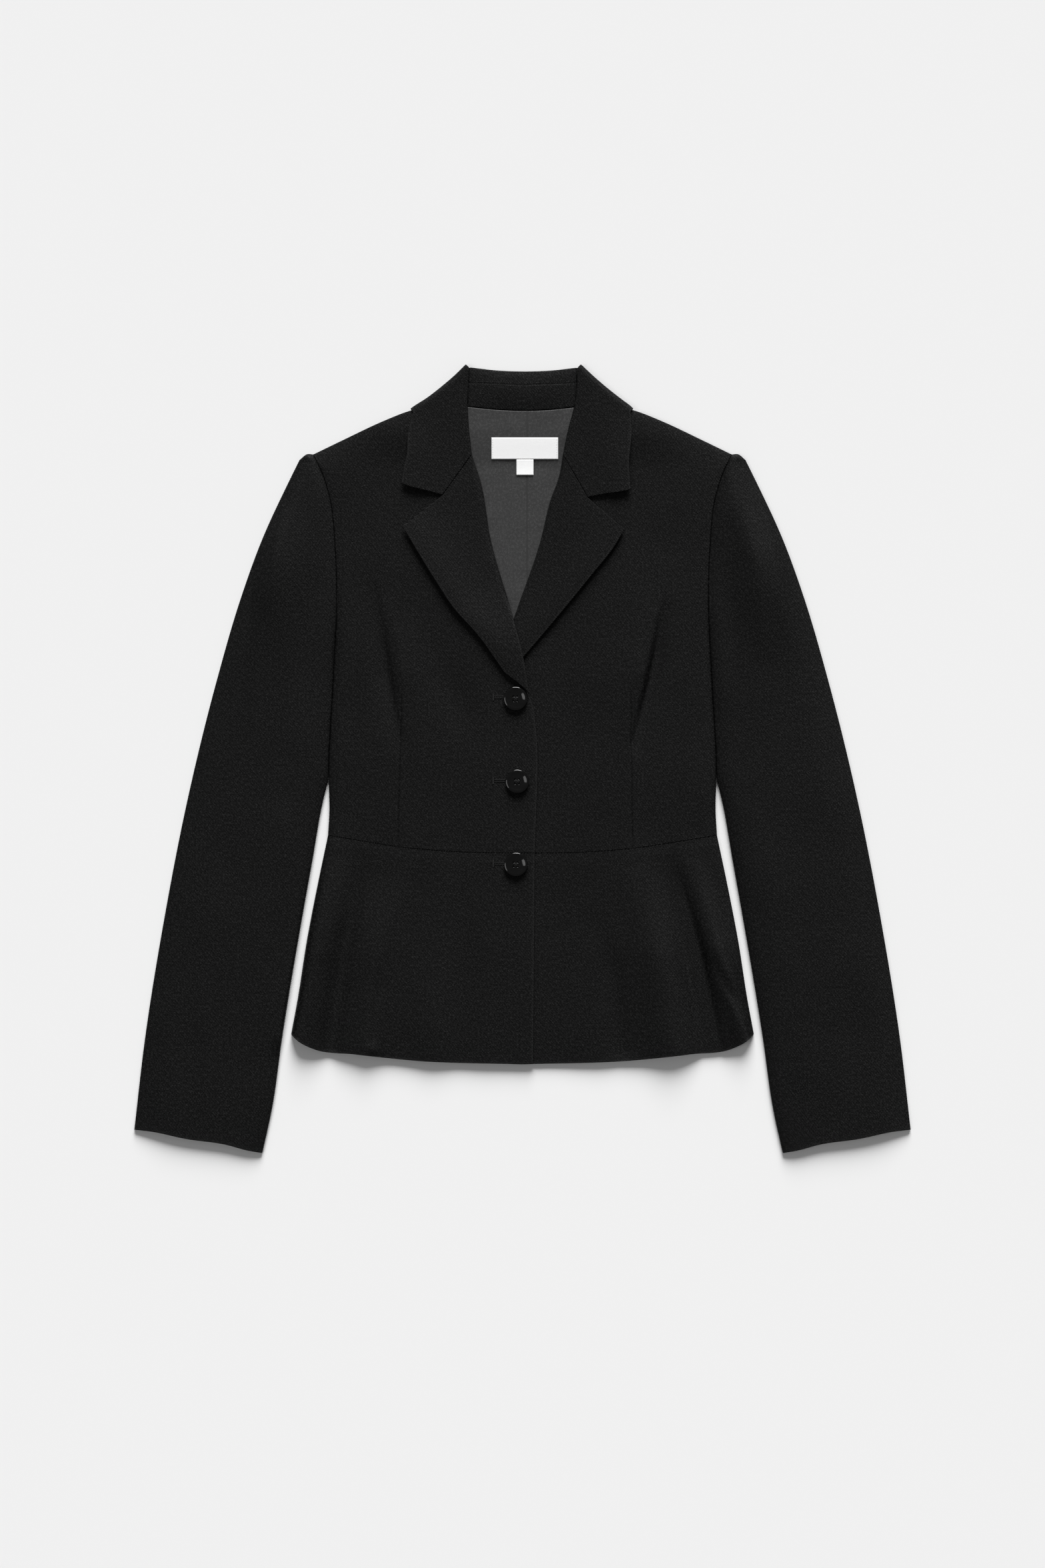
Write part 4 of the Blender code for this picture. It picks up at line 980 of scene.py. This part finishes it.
fall_first = curve([tuple(right_end[0]), *FALL_FOLD, tuple(left_end[0])], fall_shares)
fall_last = curve([tuple(right_end[-1]), *FALL_EDGE, tuple(left_end[-1])], fall_shares)
fall_plan = fill(right_end, left_end, fall_first, fall_last)[1:-1]
fall = np.dstack([fall_plan, np.full(fall_plan.shape[:2], LAPEL_WALL / 2)])
fall_out = np.zeros(fall.shape)
fall_out[..., 2] = -1
collar_middle = np.concatenate([right_leaf, fall, left_leaf[::-1]])
collar_out = np.concatenate([right_out, fall_out, left_out[::-1]]) * LAPEL_WALL / 2
collar_piece = cloth("collar_leaf_and_fall", "collar", collar_middle + collar_out,
                     collar_middle - collar_out, SUITING, TURNED_BRIM, (3,))


# Collar stand. The inner band of the collar, which stands up from the neck seam to the
# fold. It is seen inside the back neck, over the fall.
BACK_FOLD = [(-45.6, 340.3), (-22, 337.6), (2.3, 336.8), (24, 337.5), (46.8, 340)]
STAND_SIDE_X, STAND_SIDE_Y = (-50, 47.6), 325
STAND_SEAM = [(-48.5, 326.8), (-20, 325.9), (-2, 324.9), (14, 325.4), (46.6, 326.6)]
STAND_CROWN, STAND_ROUND = 1.2, 6
STAND_SEAM_DEPTH, STAND_SEAM_HALF = 0.22, 0.5
# Stitches: how far above the seam their row runs, and where it starts and ends
STAND_STITCH_ROWS = [(1.25, -46, 40), (-1.25, -30, 36)]
stand_shares, stand_rows = crowded(96, 1.4), crowded(36, 0.6)
stand_bottom = curve(NECK_SEAM, stand_shares) + (0, CLEAR)
stand_top = curve(BACK_FOLD, stand_shares)
stand_first, stand_last = (
    curve([tuple(stand_top[end]), (side_x, STAND_SIDE_Y), tuple(stand_bottom[end])], stand_rows)
    for end, side_x in zip((0, -1), STAND_SIDE_X))
stand_plan = fill(stand_top, stand_bottom, stand_first, stand_last)
stand_floor = np.full(stand_plan.shape[:2], LAPEL_WALL + CLEAR)
stand_bow = 1 - (2 * stand_shares - 1) ** 2
stand_crown = STAND_CROWN * np.outer(np.sin(math.pi * stand_rows), stand_bow)
stand_outer, stand_under = rounded(stand_plan, stand_floor, stand_floor + LAPEL_WALL + stand_crown,
                                   LAPEL_WALL, [(stand_top[::3], STAND_ROUND, 1)])
stand_seam = curve(STAND_SEAM, np.linspace(0, 1, 40))
from_stand_seam = distance(stand_plan, stand_seam)
stand_outer = stand_outer - STAND_SEAM_DEPTH * np.exp(-(from_stand_seam / STAND_SEAM_HALF) ** 2)
laid("collar_stand_band", "collar_stand", stand_plan, stand_outer, stand_under)
GREY_THREAD = plain_finish("grey_thread", 0.03, 0.6, 0.3)


def stand_height(x, y):
    """Return the stand's upper face at a place, read from the nearest point of its grid."""
    away = np.linalg.norm(stand_plan - np.stack([x, y], axis=-1)[:, None, None], axis=-1)
    return stand_outer.reshape(-1)[np.argmin(away.reshape(len(x), -1), axis=1)]


stand_runs = []
for offset, start, end in STAND_STITCH_ROWS:
    for x in np.arange(start, end, 1.75):
        y = np.interp(x, stand_seam[:, 0], stand_seam[:, 1]) + offset
        stand_runs.append(stitch((x, y - 0.15), (x + 0.8, y + 0.15), stand_height, 0.12))
tubes("stand_stitches", stand_runs, 0.13, GREY_THREAD)


# Buttons. Three glossy black four-hole buttons with a raised rim round a dished middle,
# sewn through to the left front with black thread. Each is half in front of its buttonhole,
# which has a bar tack at its far end and a ridge of close stitches on both sides.
# Each row: the node's name, the button's x and y, and the y of its buttonhole
BUTTONS = [
    ("button_top", -6.1, 52.2, 53.4), ("button_middle", -4.6, -19.7, -19.1),
    ("button_bottom", -5.8, -91.9, -91.1),
]
# The profile: radius and height, from the foot over the rim to the flat middle
BUTTON_SHAPE = [
    (8.6, 0), (9.7, 0.4), (10.2, 1.2), (10.3, 2.3), (10.28, 3), (10.15, 3.35), (9.9, 3.58),
    (9.3, 3.8), (8.9, 3.91), (8.6, 3.94), (8.2, 3.88), (7.6, 3.7), (6.9, 3.48), (6.2, 3.31),
    (5.2, 3.14), (3.6, 2.98),
]
BUTTON_MIDDLE, BUTTON_REACH = 2.92, 10.3
HOLE_RADIUS, HOLE_OFFSET, HOLE_FLOOR = 0.95, 1.75, 0.9
HOLE_STEP = 0.12
BUTTON_SIDES = 144
SLIT_START_X, SLIT_END_X, TACK_X, TACK_HALF = -24.5, -12, -26.6, 2.9
STITCH_STEP, THREADS = 0.36, (-0.36, -0.12, 0.12, 0.36)


def gloss_finish():
    """Return the polished black of the buttons, with soft streaks in its colour and shine."""
    finish = plain_finish("glossy_black", 0.002, 0.12, 0.45)
    tree = finish.node_tree
    place = add_node(tree, "TexCoord")
    streak = add_node(tree, "Mapping", [
        ("Vector", place.outputs["Object"]), ("Rotation", (0, 0, 0.9)),
        ("Scale", (90, 420, 90))])
    noise = add_node(tree, "TexNoise", [("Vector", streak), ("Scale", 1)])
    colour = add_node(tree, "Mix", [
        (0, noise), (6, (0.0005, 0.0005, 0.0005, 1)),
        (7, (0.003, 0.003, 0.003, 1))], data_type="RGBA")
    shine = add_node(tree, "MapRange", [("Value", noise), ("To Min", 0.06), ("To Max", 0.12)])
    connect(tree, tree.nodes["Principled BSDF"], [
        ("Base Color", colour.outputs[2]), ("Roughness", shine)])
    return finish


BUTTON_GLOSS = gloss_finish()
BLACK_THREAD = plain_finish("black_thread", 0.008, 0.45, 0.25)


def hole_depth(x, y):
    """Return how far down a hole's floor is: a steep step at its radius round each centre."""
    away = np.full(x.shape, np.inf)
    for across in (-HOLE_OFFSET, HOLE_OFFSET):
        for along in (-HOLE_OFFSET, HOLE_OFFSET):
            away = np.minimum(away, np.hypot(x - across, y - along))
    return 1 - ease(away, HOLE_RADIUS - HOLE_STEP, HOLE_RADIUS + HOLE_STEP)


def turned_button(name, node, x, y, seat):
    """Make a button: the profile turned round, and the four holes pressed into its middle."""
    rim = curve(BUTTON_SHAPE, np.linspace(0, 1, 48))
    rim_radius, rim_height = BUTTON_SHAPE[-1]
    inner_radius = np.concatenate([np.arange(3.5, 1.3, -0.1), [1, 0.6, 0.25]])
    share = inner_radius / rim_radius
    inner_height = BUTTON_MIDDLE + (rim_height - BUTTON_MIDDLE) * share**2
    radius = np.concatenate([rim[:, 0], inner_radius])[:, None]
    height = np.concatenate([rim[:, 1], inner_height])[:, None]
    turns = (np.arange(BUTTON_SIDES) * math.tau / BUTTON_SIDES)[None]
    across, along = radius * np.cos(turns), radius * np.sin(turns)
    depth = np.where(radius < rim_radius, hole_depth(across, along), 0)
    height = height + (HOLE_FLOOR - height) * depth
    rings = np.stack([across + x, along + y, height + seat], axis=-1)
    points = np.concatenate([rings.reshape(-1, 3), [(x, y, seat + BUTTON_MIDDLE)]])
    index = np.arange(rings.shape[0] * BUTTON_SIDES).reshape(-1, BUTTON_SIDES)
    inmost = index[-1].tolist()
    middle = [(a, b, len(points) - 1) for a, b in zip(inmost, inmost[1:] + inmost[:1])]
    placed(name, points, [index[0][::-1].tolist(), *ring_faces(index), *middle],
           BUTTON_GLOSS, node)


def thread_cross(x, y, seat):
    """Return the runs of a thread cross: four strands each way, from hole to hole."""
    runs = []
    for turn, lift in ((1, 0), (-1, 0.25)):
        for beside in THREADS:
            share = np.linspace(-1, 1, 11)
            across = HOLE_OFFSET * share + beside * turn * 0.7
            along = HOLE_OFFSET * share * turn - beside * 0.7
            up = BUTTON_MIDDLE + 0.22 + lift + 0.12 * np.cos(3 * beside)
            up = up - 1.1 * np.abs(share) ** 5
            runs.append(np.column_stack([x + across, y + along, seat + up]))
    return runs


def right_top(x, y):
    """Return the upper face of the right front."""
    return front_top(-1, x, y)


def buttonhole(y):
    """Return the runs of a buttonhole's stitches: two ridges along x and the tack across."""
    runs = []
    for side in (-1, 1):
        for x in np.arange(SLIT_START_X + 0.3, SLIT_END_X, STITCH_STEP):
            runs.append(stitch((x, y + 0.22 * side), (x + 0.08, y + 1.35 * side), right_top, 0.3))
    for offset in np.arange(-TACK_HALF, TACK_HALF + 0.05, STITCH_STEP):
        runs.append(stitch((TACK_X, y + offset), (SLIT_START_X, y + offset + 0.1), right_top, 0.38))
    return runs


edge_turns = np.linspace(0, math.tau, 36)
for name, x, y, hole_y in BUTTONS:
    edge_x = x + BUTTON_REACH * np.cos(edge_turns)
    edge_y = y + BUTTON_REACH * np.sin(edge_turns)
    seat = float(np.max(right_top(edge_x, edge_y))) + CLEAR
    turned_button("turned_" + name, name, x, y, seat)
    tubes(name + "_thread", thread_cross(x, y, seat), 0.15, BLACK_THREAD)
    tubes(name + "_hole_stitches", buttonhole(hole_y), 0.17, BLACK_THREAD)


def corners(box):
    """Return the box's numbers as a plain list, whether it is an array or nested tuples."""
    return np.array(box, dtype=float).reshape(-1).tolist()


{"cad_box": corners(cad_box), "visual_box": corners(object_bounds())}
